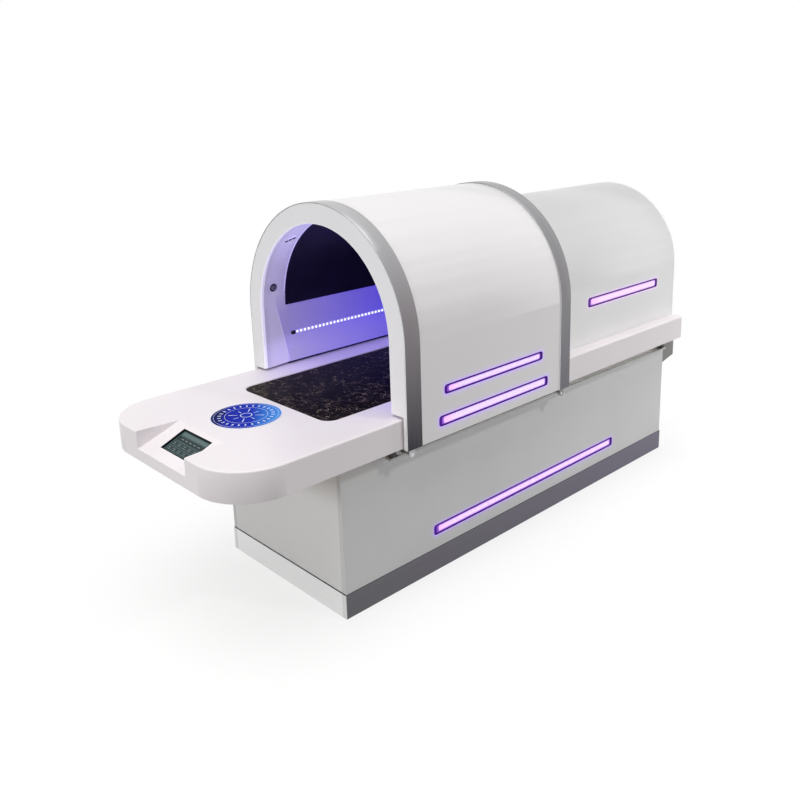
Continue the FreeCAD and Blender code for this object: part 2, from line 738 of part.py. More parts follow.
switch_flange = face_box("switch_flange", "switch_width + 2 * switch_wall",
                         "switch_tall + 2 * switch_wall", SWITCH_Y, FACE, TAIL)
switch_block = face_box("switch_block", "switch_width - 2 * fit_gap", "switch_tall - 2 * fit_gap",
                        SWITCH_Y, f"{TAIL} - switch_depth", TAIL)
switch_well = face_box("switch_well", "switch_width - 2 * switch_wall",
                       "switch_tall - 2 * switch_wall", SWITCH_Y,
                       f"{TAIL} - switch_depth + switch_wall", f"{TAIL} + 1")
TRUNNION_HALF = "(switch_width / 2 - switch_wall / 2)"
trunnion_hole = cross_drum("trunnion_hole", "trunnion_radius + run_gap", PIVOT_X, INLET_Z,
                           f"{SWITCH_Y} - {TRUNNION_HALF} - fit_gap",
                           f"{SWITCH_Y} + {TRUNNION_HALF} + fit_gap")
switch_solid = fuse("switch_solid", [switch_flange, switch_block])
node(cut("switch_frame", cut("switch_shell", switch_solid, switch_well), trunnion_hole))
ROCKER_HALF = "(switch_tall / 2 - switch_wall - 1)"
ROCKER_FRONT = "(rocker_sink - 2)"
ROCKER_WIDTH = "(switch_width - 2 * switch_wall - 1)"
rocker_paddle = doc.addObject("Part::Box", "rocker_paddle")
bind(rocker_paddle, "Length", f"2 * {ROCKER_FRONT}")
bind(rocker_paddle, "Width", ROCKER_WIDTH)
bind(rocker_paddle, "Height", f"2 * {ROCKER_HALF}")
turn(rocker_paddle, (0, 1, 0), "rocker_tilt")
put(rocker_paddle,
    f"{PIVOT_X} - {ROCKER_FRONT} * cos(rocker_tilt) - {ROCKER_HALF} * sin(rocker_tilt)",
    f"{SWITCH_Y} - {ROCKER_WIDTH} / 2",
    f"{INLET_Z} + {ROCKER_FRONT} * sin(rocker_tilt) - {ROCKER_HALF} * cos(rocker_tilt)")
rocker_trunnion = cross_drum("rocker_trunnion", "trunnion_radius", PIVOT_X, INLET_Z,
                             f"{SWITCH_Y} - {TRUNNION_HALF}", f"{SWITCH_Y} + {TRUNNION_HALF}")
node(fuse("rocker_switch", [rocker_paddle, rocker_trunnion]))

# Fixed rear hood
REAR_IN = f"({REAR_R} - rear_wall)"
rear_arch = along_x("rear_arch", REAR_SHELL_A, REAR_SHELL_B, arch(REAR_R, REAR_IN, "deck_top"))
node(cut("rear_shell", rear_arch, light_opening("rear_light", REAR_R)))
node(along_x("rear_rim", REAR_A, REAR_SHELL_A, arch(REAR_R, f"({REAR_R} - rear_rim_width)", "deck_top")))
node(along_x("rear_end_panel", REAR_SHELL_B, FOOT, [
    (f"-{REAR_R}", "deck_top"),
    (f"-{REAR_R}", SPRING),
    ("0", f"{SPRING} + {REAR_R}", REAR_R, False),
    (REAR_R, SPRING, REAR_R, False),
    (REAR_R, "deck_top")]))
REAR_HEATER = f"({REAR_IN} - fit_gap)"
node(along_x("rear_heater_panel", f"{REAR_SHELL_A} + rear_heater_gap",
             f"{REAR_SHELL_B} - rear_heater_gap",
             half_hoop(REAR_HEATER, f"({REAR_HEATER} - heater_thick)")))
rear_bezel, rear_lens, rear_board = light_pieces("rear_light", REAR_R)
node(pair("rear_light_bezels", rear_bezel))
node(pair("rear_light_lenses", rear_lens))
node(pair("rear_light_boards", rear_board))

# Front hood: skin, closing rings, trims, reveal, liner and heater panel
SKIN_A = f"({HOOD_A} + ring_thick)"
SKIN_B = f"({HOOD_B} - ring_thick)"
skin_arch = along_x("skin_arch", SKIN_A, SKIN_B, arch(HOOD_R, SKIN_IN, HOOD_LOW))
skin_slots = fuse("skin_slots", [light_opening("hood_light_high", HOOD_R),
                                 light_opening("hood_light_low", HOOD_R)])
node(cut("hood_skin", skin_arch, skin_slots))
node(along_x("front_ring", HOOD_A, SKIN_A, stepped_arch(FRONT_RING_R)))
node(along_x("rear_ring", SKIN_B, HOOD_B, stepped_arch(REAR_RING_R)))
TRIM_IN = f"({HOOD_R} + fit_gap)"
TRIM_OUT = f"({TRIM_IN} + trim_thick)"
node(along_x("front_trim", HOOD_A, f"{HOOD_A} + front_trim_width",
             arch(TRIM_OUT, TRIM_IN, HOOD_LOW)))
node(along_x("rear_trim", f"{HOOD_B} - rear_trim_width", HOOD_B,
             arch(TRIM_OUT, TRIM_IN, HOOD_LOW)))
LINER_A = f"({HOOD_A} + reveal_depth)"
reveal = doc.addObject("PartDesign::Body", "reveal")
reveal_loft = reveal.newObject("PartDesign::AdditiveLoft", "reveal_loft")
reveal_loft.Profile = profile(reveal, "YZ_Plane", SKIN_A, [
    arch(f"({FRONT_RING_R} + liner_thick)", FRONT_RING_R, LINER_LOW)])
reveal_loft.Sections = [profile(reveal, "YZ_Plane", LINER_A, [
    arch(f"({LINER_R} + liner_thick)", LINER_R, LINER_LOW)])]
reveal_loft.Ruled = True


def reveal_radius(inset):
    """Inner radius of the tapered reveal at a distance behind the hood's front."""
    share = f"(({inset}) - ring_thick) / (reveal_depth - ring_thick)"
    return f"({FRONT_RING_R} + (front_ring_width - liner_inset) * {share})"


def radial_drum(label, radius, inset, angle, r_from, r_to):
    """A cylinder pointing outward from the axis of the hood."""
    return drum(label, radius, f"({r_to}) - ({r_from})", f"{HOOD_A} + {inset}",
                f"({r_from}) * cos({angle})", f"{SPRING} + ({r_from}) * sin({angle})",
                (-1, 0, 0), f"90 - {angle}")


BUTTON_IN = f"({reveal_radius('button_inset')} - button_proud)"
BUTTON_OUT = f"({BUTTON_IN} + button_depth)"
button_hole = radial_drum("button_hole", "button_radius + fit_gap", "button_inset", "button_angle",
                          f"{BUTTON_IN} - 10", f"{BUTTON_OUT} + 10")
VENT_IN = f"({reveal_radius('vent_inset')} - vent_proud)"


def vent_box(label, length, width, height, shift, low):
    """A box of the vent about its middle, with the vent's face at the level nought."""
    return box(label, length, width, height, f"-({length}) / 2 + ({shift})", f"-({width}) / 2", low)


def at_vent(label, item):
    """Tilt a piece of the vent in its own plane and set it square to the reveal."""
    tilted = group(label + "_tilted", [item])
    turn(tilted, (0, 0, -1), "vent_tilt")
    placed = group(label, [tilted])
    turn(placed, (-1, 0, 0), "90 - vent_angle")
    put(placed, f"{HOOD_A} + vent_inset", f"{VENT_IN} * cos(vent_angle)",
        f"{SPRING} + {VENT_IN} * sin(vent_angle)")
    return placed


vent_hole = at_vent("vent_hole", vent_box("vent_bore", "vent_length + 2 * fit_gap",
                                          "vent_width + 2 * fit_gap", "3 * vent_thick", "0",
                                          "-vent_thick"))
node(cut("hood_reveal", reveal, fuse("reveal_openings", [button_hole, vent_hole])))
vent_plug = vent_box("vent_plug", "vent_length", "vent_width", "vent_thick", "0", "0")
vent_slots = []
for shift in ("-vent_length / 3", "0", "vent_length / 3"):
    vent_slots.append(vent_box("vent_slot", "vent_length / 4", "vent_slot", "vent_thick", shift,
                               "-vent_thick / 2"))
node(at_vent("vent_cover", cut("slotted_plug", vent_plug, fuse("vent_slots", vent_slots))))
node(along_x("hood_liner", LINER_A, SKIN_B, arch(f"({LINER_R} + liner_thick)", LINER_R, LINER_LOW)))
HEATER = f"({LINER_R} - fit_gap)"
node(along_x("hood_heater_panel", LINER_A, f"{SKIN_B} - heater_end_gap",
             half_hoop(HEATER, f"({HEATER} - heater_thick)")))
node(along_x("rear_seal", f"{HOOD_B} - ring_thick / 2 - seal_width / 2",
             f"{HOOD_B} - ring_thick / 2 + seal_width / 2",
             arch(f"({REAR_RING_R} - fit_gap)", f"({REAR_R} + seal_gap)", LINER_LOW)))

# Push button inside the hood: housing and spring loaded cap
button_body = radial_drum("button_body", "button_radius", "button_inset", "button_angle",
                          BUTTON_IN, BUTTON_OUT)
button_bore = radial_drum("button_bore", "button_cap_radius + run_gap", "button_inset", "button_angle",
                          f"{BUTTON_IN} - 1", f"{BUTTON_OUT} - 4")
node(cut("button_housing", button_body, button_bore))
node(radial_drum("button_cap", "button_cap_radius", "button_inset", "button_angle",
                 f"{BUTTON_IN} - cap_proud", f"{BUTTON_IN} - cap_proud + cap_length"))

# Strips of light dots on the side walls of the liner
node(pair("led_strips", box("led_strip", "hood_length - strip_front_gap - strip_rear_gap",
                            "strip_thick", "strip_tall", f"{HOOD_A} + strip_front_gap",
                            f"{LINER_R} - fit_gap - strip_thick",
                            "deck_top + strip_height - strip_tall / 2")))

# Lit slots in the hood skirt
high_bezel, high_lens, high_board = light_pieces("hood_light_high", HOOD_R)
low_bezel, low_lens, low_board = light_pieces("hood_light_low", HOOD_R)
for label, high, low in (("hood_light_bezels", high_bezel, low_bezel),
                         ("hood_light_lenses", high_lens, low_lens),
                         ("hood_light_boards", high_board, low_board)):
    node(group(label, [high, mirrored(high), low, mirrored(low)]))

# Welded frame of the hood: hoops, long bars, hangers and skirt bars
HOOP_OUT = f"({SKIN_IN} - hoop_gap + fit_gap)"
HOOP_IN = f"({HOOP_OUT} - hoop_size)"
HOOP_LOW = f"({LINER_LOW} + hood_drop)"
BAR_OUT = f"({SKIN_IN} - fit_gap)"
BAR_IN = f"({BAR_OUT} - skirt_bar_thick)"
frame_bars = []
for label, x_from in (("front_hoop", FRONT_HOOP), ("back_hoop", BACK_HOOP),
                      ("middle_hoop", f"(({FRONT_HOOP} + {BACK_HOOP}) / 2)")):
    frame_bars.append(along_x(label, x_from, f"{x_from} + hoop_size",
                              arch(HOOP_OUT, HOOP_IN, HOOP_LOW)))
side_bars = [box("long_bar", "hood_length - 4 * ring_thick", "hoop_size", "hoop_size",
                 f"{HOOD_A} + 2 * ring_thick", HOOP_IN, HOOP_LOW),
             box("skirt_bar", "hood_length - 2 * ring_thick - 2", "skirt_bar_thick", "skirt_bar_tall",
                 f"{SKIN_A} + 1", BAR_IN, SKIRT_BAR_LOW)]
for x_from in (FRONT_HOOP, BACK_HOOP):
    side_bars.append(box("hanger_arm", "hoop_size", f"{BAR_OUT} - {HOOP_OUT} + 1", "hoop_size / 2",
                         x_from, f"{HOOP_OUT} - 1", HOOP_LOW))
    side_bars.append(box("hanger_strap", "hoop_size", "skirt_bar_thick", f"{HOOP_LOW} - {SKIRT_BAR_LOW}",
                         x_from, BAR_IN, SKIRT_BAR_LOW))
for bar in side_bars:
    frame_bars.append(bar)
    frame_bars.append(mirrored(bar))
node(fuse("hood_frame", frame_bars))

# Rails under the deck, their stops, and the rollers on brackets inside the hood skirt
RAIL_TOP = f"({DECK_LOW} - rail_drop)"
RAIL_LOW = f"({RAIL_TOP} - rail_tall)"
RAIL_OUT = f"({BASE_HALF} + rail_depth)"
TRACK_IN = f"({BASE_HALF} + rail_wall)"
TRACK_OUT = f"({RAIL_OUT} - rail_wall)"
ROLLER_R = "(rail_tall / 2 - rail_wall - 2 * roller_gap)"
ROLLER_Z = f"({RAIL_LOW} + rail_wall + {ROLLER_R} + roller_gap)"
FRONT_AXLE = f"({HOOD_A} + roller_inset)"
BACK_AXLE = f"({HOOD_B} - roller_inset)"
STOP_A = f"({FRONT_AXLE} - {ROLLER_R} - stop_gap - stop_length)"
RAIL_B = f"({BASE_B} - rail_foot_inset)"
STOP_B = f"({RAIL_B} - rail_end - stop_length)"
rail = along_x("rail", f"{STOP_A} - rail_end", RAIL_B, [
    (BASE_HALF, RAIL_LOW),
    (RAIL_OUT, RAIL_LOW),
    (RAIL_OUT, f"{RAIL_LOW} + rail_lip"),
    (TRACK_OUT, f"{RAIL_LOW} + rail_lip"),
    (TRACK_OUT, f"{RAIL_LOW} + rail_wall"),
    (TRACK_IN, f"{RAIL_LOW} + rail_wall"),
    (TRACK_IN, f"{RAIL_TOP} - rail_wall"),
    (TRACK_OUT, f"{RAIL_TOP} - rail_wall"),
    (TRACK_OUT, f"{RAIL_TOP} - rail_lip"),
    (RAIL_OUT, f"{RAIL_TOP} - rail_lip"),
    (RAIL_OUT, RAIL_TOP),
    (BASE_HALF, RAIL_TOP)])
node(pair("slide_rails", rail))
stops = []
for x_from in (STOP_A, STOP_B):
    stop = box("rail_stop", "stop_length", f"{TRACK_OUT} - {TRACK_IN}", "rail_tall - 2 * rail_wall",
               x_from, TRACK_IN, f"{RAIL_LOW} + rail_wall")
    stops.extend([stop, mirrored(stop)])
node(group("rail_stops", stops))
BRACKET_OUT = f"({BAR_IN} - fit_gap)"
BRACKET_IN = f"({BRACKET_OUT} - bracket_thick)"
ROLLER_IN = f"({TRACK_IN} + roller_side_gap)"
ROLLER_OUT = f"({TRACK_OUT} - roller_side_gap)"
brackets = []
axles = []
for place, axle_x in (("front", FRONT_AXLE), ("back", BACK_AXLE)):
    plate = box("bracket_plate", "bracket_width", "bracket_thick", "skirt_bar_tall",
                f"{axle_x} - bracket_width / 2", BRACKET_IN, SKIRT_BAR_LOW)
    tongue = box("bracket_tongue", "bracket_tongue", "bracket_thick", f"{HOOD_LOW} + 2 - {ROLLER_Z}",
                 f"{axle_x} - bracket_tongue / 2", BRACKET_IN, ROLLER_Z)
    tip = cross_drum("bracket_tip", "bracket_tongue / 2", axle_x, ROLLER_Z, BRACKET_IN, BRACKET_OUT)
    bore = cross_drum("bracket_bore", "axle_radius + run_gap", axle_x, ROLLER_Z,
                      f"{BRACKET_IN} - 1", f"{BRACKET_OUT} + 1")
    bracket = cut(place + "_bracket", fuse(place + "_bracket_solid", [plate, tongue, tip]), bore)
    brackets.extend([bracket, mirrored(bracket)])
    head = cross_drum("axle_head", "axle_head_radius", axle_x, ROLLER_Z,
                      f"{TRACK_IN} + 1", f"{ROLLER_IN} - roller_gap")
    journal = cross_drum("axle_journal", "axle_radius", axle_x, ROLLER_Z,
                         f"{TRACK_IN} + 1", BRACKET_OUT)
    shoulder = cross_drum("axle_shoulder", "axle_shoulder_radius", axle_x, ROLLER_Z,
                          f"{ROLLER_OUT} + roller_gap", f"{BRACKET_IN} - fit_gap")
    axle = fuse(place + "_axle", [head, journal, shoulder])
    axles.extend([axle, mirrored(axle)])
    wheel = cross_drum(place + "_wheel", ROLLER_R, axle_x, ROLLER_Z, ROLLER_IN, ROLLER_OUT)
    wheel_bore = cross_drum(place + "_wheel_bore", "axle_radius + run_gap", axle_x, ROLLER_Z,
                            f"{ROLLER_IN} - 1", f"{ROLLER_OUT} + 1")
    roller = cut(place + "_left_roller", wheel, wheel_bore)
    other = mirrored(roller)
    other.Label = place + "_right_roller"
    node(roller)
    node(other)
node(group("roller_brackets", brackets))
node(group("roller_axles", axles))

# Check every piece, then write each node to its own file
doc.recompute()
for item in doc.Objects:
    if "Invalid" in item.State or "Error" in item.State:
        raise RuntimeError(f"{item.Label} did not build: {item.State}")
os.makedirs("parts", exist_ok=True)
for item in nodes:
    shape = item.Shape
    if shape.isNull() or not shape.isValid() or not shape.Solids:
        raise RuntimeError(f"{item.Label} has no valid solid")
    shape.exportStep("parts/" + item.Label + ".step")
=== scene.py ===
import math

import bmesh
import bpy
from mathutils import Matrix, Vector


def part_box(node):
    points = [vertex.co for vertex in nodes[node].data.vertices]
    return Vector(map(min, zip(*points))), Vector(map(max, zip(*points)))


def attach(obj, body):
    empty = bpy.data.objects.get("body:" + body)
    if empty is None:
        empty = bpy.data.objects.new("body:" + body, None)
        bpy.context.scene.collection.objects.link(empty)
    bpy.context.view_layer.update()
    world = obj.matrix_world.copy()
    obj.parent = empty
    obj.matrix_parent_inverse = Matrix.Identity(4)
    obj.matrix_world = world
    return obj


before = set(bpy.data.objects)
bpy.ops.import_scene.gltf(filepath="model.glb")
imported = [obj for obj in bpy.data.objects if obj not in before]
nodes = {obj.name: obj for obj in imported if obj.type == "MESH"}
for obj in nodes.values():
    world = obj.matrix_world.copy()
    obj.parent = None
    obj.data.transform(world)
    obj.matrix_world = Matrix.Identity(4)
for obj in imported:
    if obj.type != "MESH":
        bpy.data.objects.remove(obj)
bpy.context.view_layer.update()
MM = 0.001
# Corner radii of the lit slots and their bright areas, and the height where the hood's arch starts
SLOT_CORNER = 10 * MM
LENS_CORNER = 14 * MM
SPRING_Z = 0.818


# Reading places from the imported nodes
def low(node):
    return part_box(node)[0]


def high(node):
    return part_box(node)[1]


# Materials
class Paint:
    """A material with one principled shader and short calls that add nodes to it."""

    def __init__(self, name, sockets):
        self.material = bpy.data.materials.new(name)
        self.material.use_nodes = True
        self.tree = self.material.node_tree
        self.shader = self.tree.nodes["Principled BSDF"]
        self.spot = self.add("ShaderNodeTexCoord").outputs["Object"]
        for socket, source in sockets.items():
            self.set(socket, source)

    def add(self, kind, **settings):
        node = self.tree.nodes.new(kind)
        for name, value in settings.items():
            setattr(node, name, value)
        return node

    def feed(self, socket, source):
        """Give a socket a plain value, or the output of another node."""
        if isinstance(source, bpy.types.NodeSocket):
            self.tree.links.new(source, socket)
        else:
            socket.default_value = source

    def set(self, socket, source):
        self.feed(self.shader.inputs[socket], source)

    def colour(self):
        """The output that feeds the base colour so far."""
        return self.shader.inputs["Base Color"].links[0].from_socket

    def calc(self, operation, first, second=0.0, clamp=False):
        node = self.add("ShaderNodeMath", operation=operation, use_clamp=clamp)
        self.feed(node.inputs[0], first)
        self.feed(node.inputs[1], second)
        return node.outputs[0]

    def stretched(self, scale):
        node = self.add("ShaderNodeMapping")
        self.feed(node.inputs["Vector"], self.spot)
        node.inputs["Scale"].default_value = scale
        return node.outputs["Vector"]

    def axes(self):
        node = self.add("ShaderNodeSeparateXYZ")
        self.feed(node.inputs[0], self.spot)
        return node.outputs

    def noise(self, scale, detail=2.0, spot=None, distortion=0.0):
        node = self.add("ShaderNodeTexNoise")
        self.feed(node.inputs["Vector"], spot or self.spot)
        node.inputs["Scale"].default_value = scale
        node.inputs["Detail"].default_value = detail
        node.inputs["Distortion"].default_value = distortion
        return node.outputs["Fac"]

    def ramp(self, source, *stops):
        """Colours along a value; each stop is a position and a colour."""
        node = self.add("ShaderNodeValToRGB")
        self.feed(node.inputs["Fac"], source)
        points = node.color_ramp.elements
        while len(points) < len(stops):
            points.new(1.0)
        for point, (place, colour) in zip(points, stops):
            point.position = place
            point.color = (*colour, 1.0)
        return node.outputs["Color"]

    def levels(self, source, before, after):
        """Carry a value from one range to another, held at both ends."""
        node = self.add("ShaderNodeMapRange", clamp=True)
        self.feed(node.inputs["Value"], source)
        node.inputs["From Min"].default_value = before[0]
        node.inputs["From Max"].default_value = before[1]
        node.inputs["To Min"].default_value = after[0]
        node.inputs["To Max"].default_value = after[1]
        return node.outputs["Result"]

    def mix(self, share, first, second, blend="MIX"):
        node = self.add("ShaderNodeMix", data_type="RGBA", blend_type=blend)
        self.feed(node.inputs["Factor"], share)
        for socket, source in ((node.inputs[6], first), (node.inputs[7], second)):
            self.feed(socket, (*source, 1.0) if isinstance(source, tuple) else source)
        return node.outputs[2]

    def bump(self, height, strength, depth):
        node = self.add("ShaderNodeBump")
        self.feed(node.inputs["Height"], height)
        node.inputs["Strength"].default_value = strength
        node.inputs["Distance"].default_value = depth
        self.set("Normal", node.outputs["Normal"])


def outside(paint, slots, corner=SLOT_CORNER):
    """Distance outside the nearest lit slot, whose corners are round."""
    x, _, z = paint.axes()
    nearest = None
    for slot_low, slot_high in slots:
        squares = []
        for axis, start, end in ((x, slot_low.x, slot_high.x), (z, slot_low.z, slot_high.z)):
            away = paint.calc("ABSOLUTE", paint.calc("SUBTRACT", axis, (start + end) / 2))
            beyond = paint.calc("SUBTRACT", away, (end - start) / 2 - corner)
            squares.append(paint.calc("POWER", paint.calc("MAXIMUM", beyond, 0.0), 2.0))
        away = paint.calc("SQRT", paint.calc("ADD", squares[0], squares[1]))
        away = paint.calc("SUBTRACT", away, corner)
        nearest = away if nearest is None else paint.calc("MINIMUM", nearest, away)
    return nearest


def head_ends(paint, slots, reach):
    """One at the head end of each lit slot, falling to nought within a reach."""
    x, _, z = paint.axes()
    total = None
    for slot_low, slot_high in slots:
        along = paint.levels(x, (slot_low.x + 0.4 * reach, slot_low.x + reach), (1.0, 0.0))
        level = paint.calc("GREATER_THAN", z, slot_low.z - 2 * MM)
        level = paint.calc("MULTIPLY", level, paint.calc("LESS_THAN", z, slot_high.z + 2 * MM))
        here = paint.calc("MULTIPLY", along, level)
        total = here if total is None else paint.calc("MAXIMUM", total, here)
    return total


def halo(paint, slots, reach, glow, violet=(0.60, 0.44, 0.98), shine=(0.50, 0.32, 1.0)):
    """Paint a violet glow from the lit slots onto the wall beside them: painted light in the base colour,
    and a little emission.
    """
    away = outside(paint, slots)
    rim = paint.levels(away, (3 * MM, 7 * MM), (1.0, 0.0))
    spread = paint.calc("POWER", paint.levels(away, (0.0, reach), (1.0, 0.0)), 2.0)
    near = paint.calc("MAXIMUM", rim, paint.calc("MULTIPLY", spread, 0.55))
    depth = paint.calc("ABSOLUTE", paint.axes()[1])
    outer = paint.levels(depth, (slots[0][1].y - 6 * MM, slots[0][1].y - 2 * MM), (0.0, 1.0))
    near = paint.calc("MULTIPLY", near, outer)
    paint.set("Base Color", paint.mix(paint.calc("MULTIPLY", near, 0.75), paint.colour(), violet))
    paint.set("Emission Color", (*shine, 1.0))
    paint.set("Emission Strength", paint.calc("MULTIPLY", near, glow))


def gel_coat(name, pale, dark, rough=0.32, peel=0.012):
    """Moulded gloss shell: faint clouds in the colour, a little orange peel."""
    paint = Paint(name, {"Coat Weight": 0.15, "Coat Roughness": 0.15, "Specular IOR Level": 0.3})
    paint.set("Base Color", paint.ramp(paint.noise(1.6, 2.0), (0.3, dark), (0.7, pale)))
    paint.set("Roughness", paint.levels(paint.noise(7.0, 2.0), (0.3, 0.7), (rough - 0.03, rough + 0.04)))
    paint.bump(paint.noise(90.0, 1.0), peel, 1 * MM)
    return paint


def board_paint(name, pale, dark):
    """Painted board: rolled paint stipple and slight clouding."""
    paint = Paint(name, {"Specular IOR Level": 0.35})
    paint.set("Base Color", paint.ramp(paint.noise(3.2, 4.0), (0.3, dark), (0.7, pale)))
    paint.set("Roughness", paint.levels(paint.noise(22.0, 3.0), (0.3, 0.7), (0.38, 0.5)))
    paint.bump(paint.noise(600.0, 2.0), 0.06, 0.4 * MM)
    return paint


def brushed(name, pale, dark, along, rough=0.34, metallic=1.0):
    """Brushed or satin metal with fine streaks along one direction."""
    paint = Paint(name, {"Metallic": metallic})
    streaks = paint.noise(1.0, 3.0, paint.stretched(along))
    paint.set("Base Color", paint.ramp(streaks, (0.3, dark), (0.7, pale)))
    paint.set("Roughness", paint.levels(streaks, (0.3, 0.7), (rough - 0.06, rough + 0.08)))
    paint.bump(streaks, 0.05, 0.3 * MM)
    return paint


def plastic(name, pale, dark, rough=0.45, grain=900.0, depth=0.25):
    """Moulded plastic or rubber with a fine grain."""
    paint = Paint(name, {"Specular IOR Level": 0.4})
    paint.set("Base Color", paint.ramp(paint.noise(30.0, 3.0), (0.3, dark), (0.7, pale)))
    paint.set("Roughness", paint.levels(paint.noise(60.0, 2.0), (0.3, 0.7), (rough - 0.06, rough + 0.08)))
    paint.bump(paint.noise(grain, 2.0), depth, 0.2 * MM)
    return paint


def lit(name, core, edge, slots, border):
    """Lit diffuser: pale and mottled in its middle, dim violet at its border, pinker at its head end."""
    paint = Paint(name, {"Roughness": 0.35, "Specular IOR Level": 0.1})
    paint.set("Base Color", (0.10, 0.07, 0.12, 1.0))
    head = Vector((14 * MM, 0.0, 0.0))
    foot = Vector((9 * MM, 0.0, 0.0))
    shorter = [(slot_low + head, slot_high - foot) for slot_low, slot_high in slots]
    wobble = paint.calc("MULTIPLY", paint.calc("SUBTRACT", paint.noise(60.0, 2.0), 0.5), 3 * MM)
    away = paint.calc("ADD", outside(paint, shorter, LENS_CORNER), wobble)
    mottle = paint.levels(paint.noise(160.0, 3.0), (0.44, 0.66), (0.0, 0.32))
    mottled = paint.mix(mottle, core, edge)
    pink = paint.mix(head_ends(paint, slots, 75 * MM), mottled, (1.0, 0.55, 0.97))
    fade = 3 * MM
    glow = paint.mix(paint.levels(away, (-border - fade, -border), (0.0, 1.0)), pink, edge)
    outer = paint.levels(away, (-border, -border + fade), (0.0, 1.0))
    paint.set("Emission Color", paint.mix(outer, glow, (0.16, 0.035, 0.50)))
    paint.set("Emission Strength", 1.0)
    paint.bump(paint.noise(500.0, 1.0), 0.1, 0.3 * MM)
    return paint


def bezel(name, slots, shine=(0.10, 0.011, 0.40)):
    """Dark violet frame of a lit slot, with a painted glow (emission) standing in for the light of its
    lens, brighter at its head end.
    """
    paint = Paint(name, {"Roughness": 0.4, "Specular IOR Level": 0.05})
    dark = paint.ramp(paint.noise(60.0, 2.0), (0.3, (0.010, 0.002, 0.035)), (0.7, (0.016, 0.004, 0.055)))
    paint.set("Base Color", dark)
    ends = head_ends(paint, slots, 13 * MM)
    paint.set("Emission Color", (*shine, 1.0))
    paint.set("Emission Strength", paint.levels(ends, (0.0, 1.0), (0.30, 0.60)))
    return paint


def slot_boxes(node, rows):
    """Corners of the lit slots of a bezel node, one for each height on the right side."""
    points = [vertex.co for vertex in nodes[node].data.vertices if vertex.co.y < 0]
    found = []
    for below, above in rows:
        row = [point for point in points if below < point.z < above]
        lowest = Vector(min(point[axis] for point in row) for axis in range(3))
        highest = Vector(max(point[axis] for point in row) for axis in range(3))
        face = max(abs(point.y) for point in row)
        found.append((Vector((lowest.x, -face, lowest.z)), Vector((highest.x, face, highest.z))))
    return found


hood_slots = slot_boxes("hood_light_bezels", ((0.5, 0.6), (0.6, 0.7)))
base_slots = slot_boxes("base_light_bezels", ((0.1, 0.2),))
rear_slots = slot_boxes("rear_light_bezels", ((0.7, 0.8),))


# White shells and boards
deck_paint = gel_coat("deck_gel_coat", (0.87, 0.82, 0.84), (0.83, 0.78, 0.80))
ring_paint = gel_coat("ring_gel_coat", (0.88, 0.87, 0.875), (0.85, 0.84, 0.845))

# Front ring, whose inner rim has a faint painted glow (emission) standing in for the light from the inside
RIM_RADII = (0.3246, 0.3268)
front_ring_paint = gel_coat("front_ring_gel_coat", (0.95, 0.94, 0.95), (0.93, 0.92, 0.93))
_, ring_y, ring_z = front_ring_paint.axes()
ring_rise = front_ring_paint.calc("MAXIMUM", front_ring_paint.calc("SUBTRACT", ring_z, SPRING_Z), 0.0)
ring_squares = front_ring_paint.calc("ADD", front_ring_paint.calc("POWER", ring_rise, 2.0),
                                     front_ring_paint.calc("MULTIPLY", ring_y, ring_y))
ring_radius = front_ring_paint.calc("SQRT", ring_squares)
front_ring_paint.set("Emission Color", (0.76, 0.72, 1.0, 1.0))
front_ring_paint.set("Emission Strength", front_ring_paint.levels(ring_radius, RIM_RADII, (0.5, 0.0)))

# Other shells and boards; the rear shell has painted shade, darker towards its crown, and the side panels
# are a darker, shaded copy of the end panels' paint
REAR_PAINTED_SHADE_Z = (0.84, 1.10)
skin_paint = gel_coat("hood_gel_coat", (0.86, 0.84, 0.85), (0.82, 0.80, 0.81))
halo(skin_paint, hood_slots, 24 * MM, 0.35)
rear_paint = gel_coat("rear_gel_coat", (0.87, 0.865, 0.87), (0.84, 0.835, 0.84))
rear_painted_shade = rear_paint.levels(rear_paint.axes()[2], REAR_PAINTED_SHADE_Z, (0.0, 1.0))
rear_paint.set("Base Color", rear_paint.mix(rear_painted_shade, rear_paint.colour(), (0.63, 0.63, 0.635)))
halo(rear_paint, rear_slots, 20 * MM, 0.25, (0.84, 0.64, 0.97), (0.80, 0.50, 1.0))
panel_paint = board_paint("panel_paint", (0.88, 0.88, 0.88), (0.85, 0.85, 0.85))
# Side panels: the end panels' white paint made darker, as painted shade
side_shaded_paint = board_paint("side_panel_shaded_paint", (0.74, 0.74, 0.74), (0.70, 0.70, 0.70))
halo(side_shaded_paint, base_slots, 22 * MM, 0.30)


# Inside of the hood, with a painted violet glow that stands in for the light of its strips of light dots
def lit_wall(name, axis, reach, *stops):
    """White wall with a painted violet glow, as emission graded along one axis, standing in for the light
    of the dots.
    """
    paint = gel_coat(name, (0.80, 0.79, 0.84), (0.76, 0.75, 0.80), 0.4)
    along = paint.levels(paint.axes()[axis], reach, (0.0, 1.0))
    paint.set("Emission Color", paint.ramp(along, *stops))
    paint.set("Emission Strength", 0.8)
    return paint


liner_span = (low("hood_liner").x, high("hood_liner").x)
strip_low = low("led_strips")
strip_high = high("led_strips")
strip_z = (strip_low.z + strip_high.z) / 2
liner_paint = lit_wall("liner_wall", 0, liner_span,
                       (0.0, (0.10, 0.06, 0.36)), (0.28, (0.105, 0.065, 0.53)),
                       (0.65, (0.07, 0.04, 0.66)), (1.0, (0.06, 0.035, 0.62)))
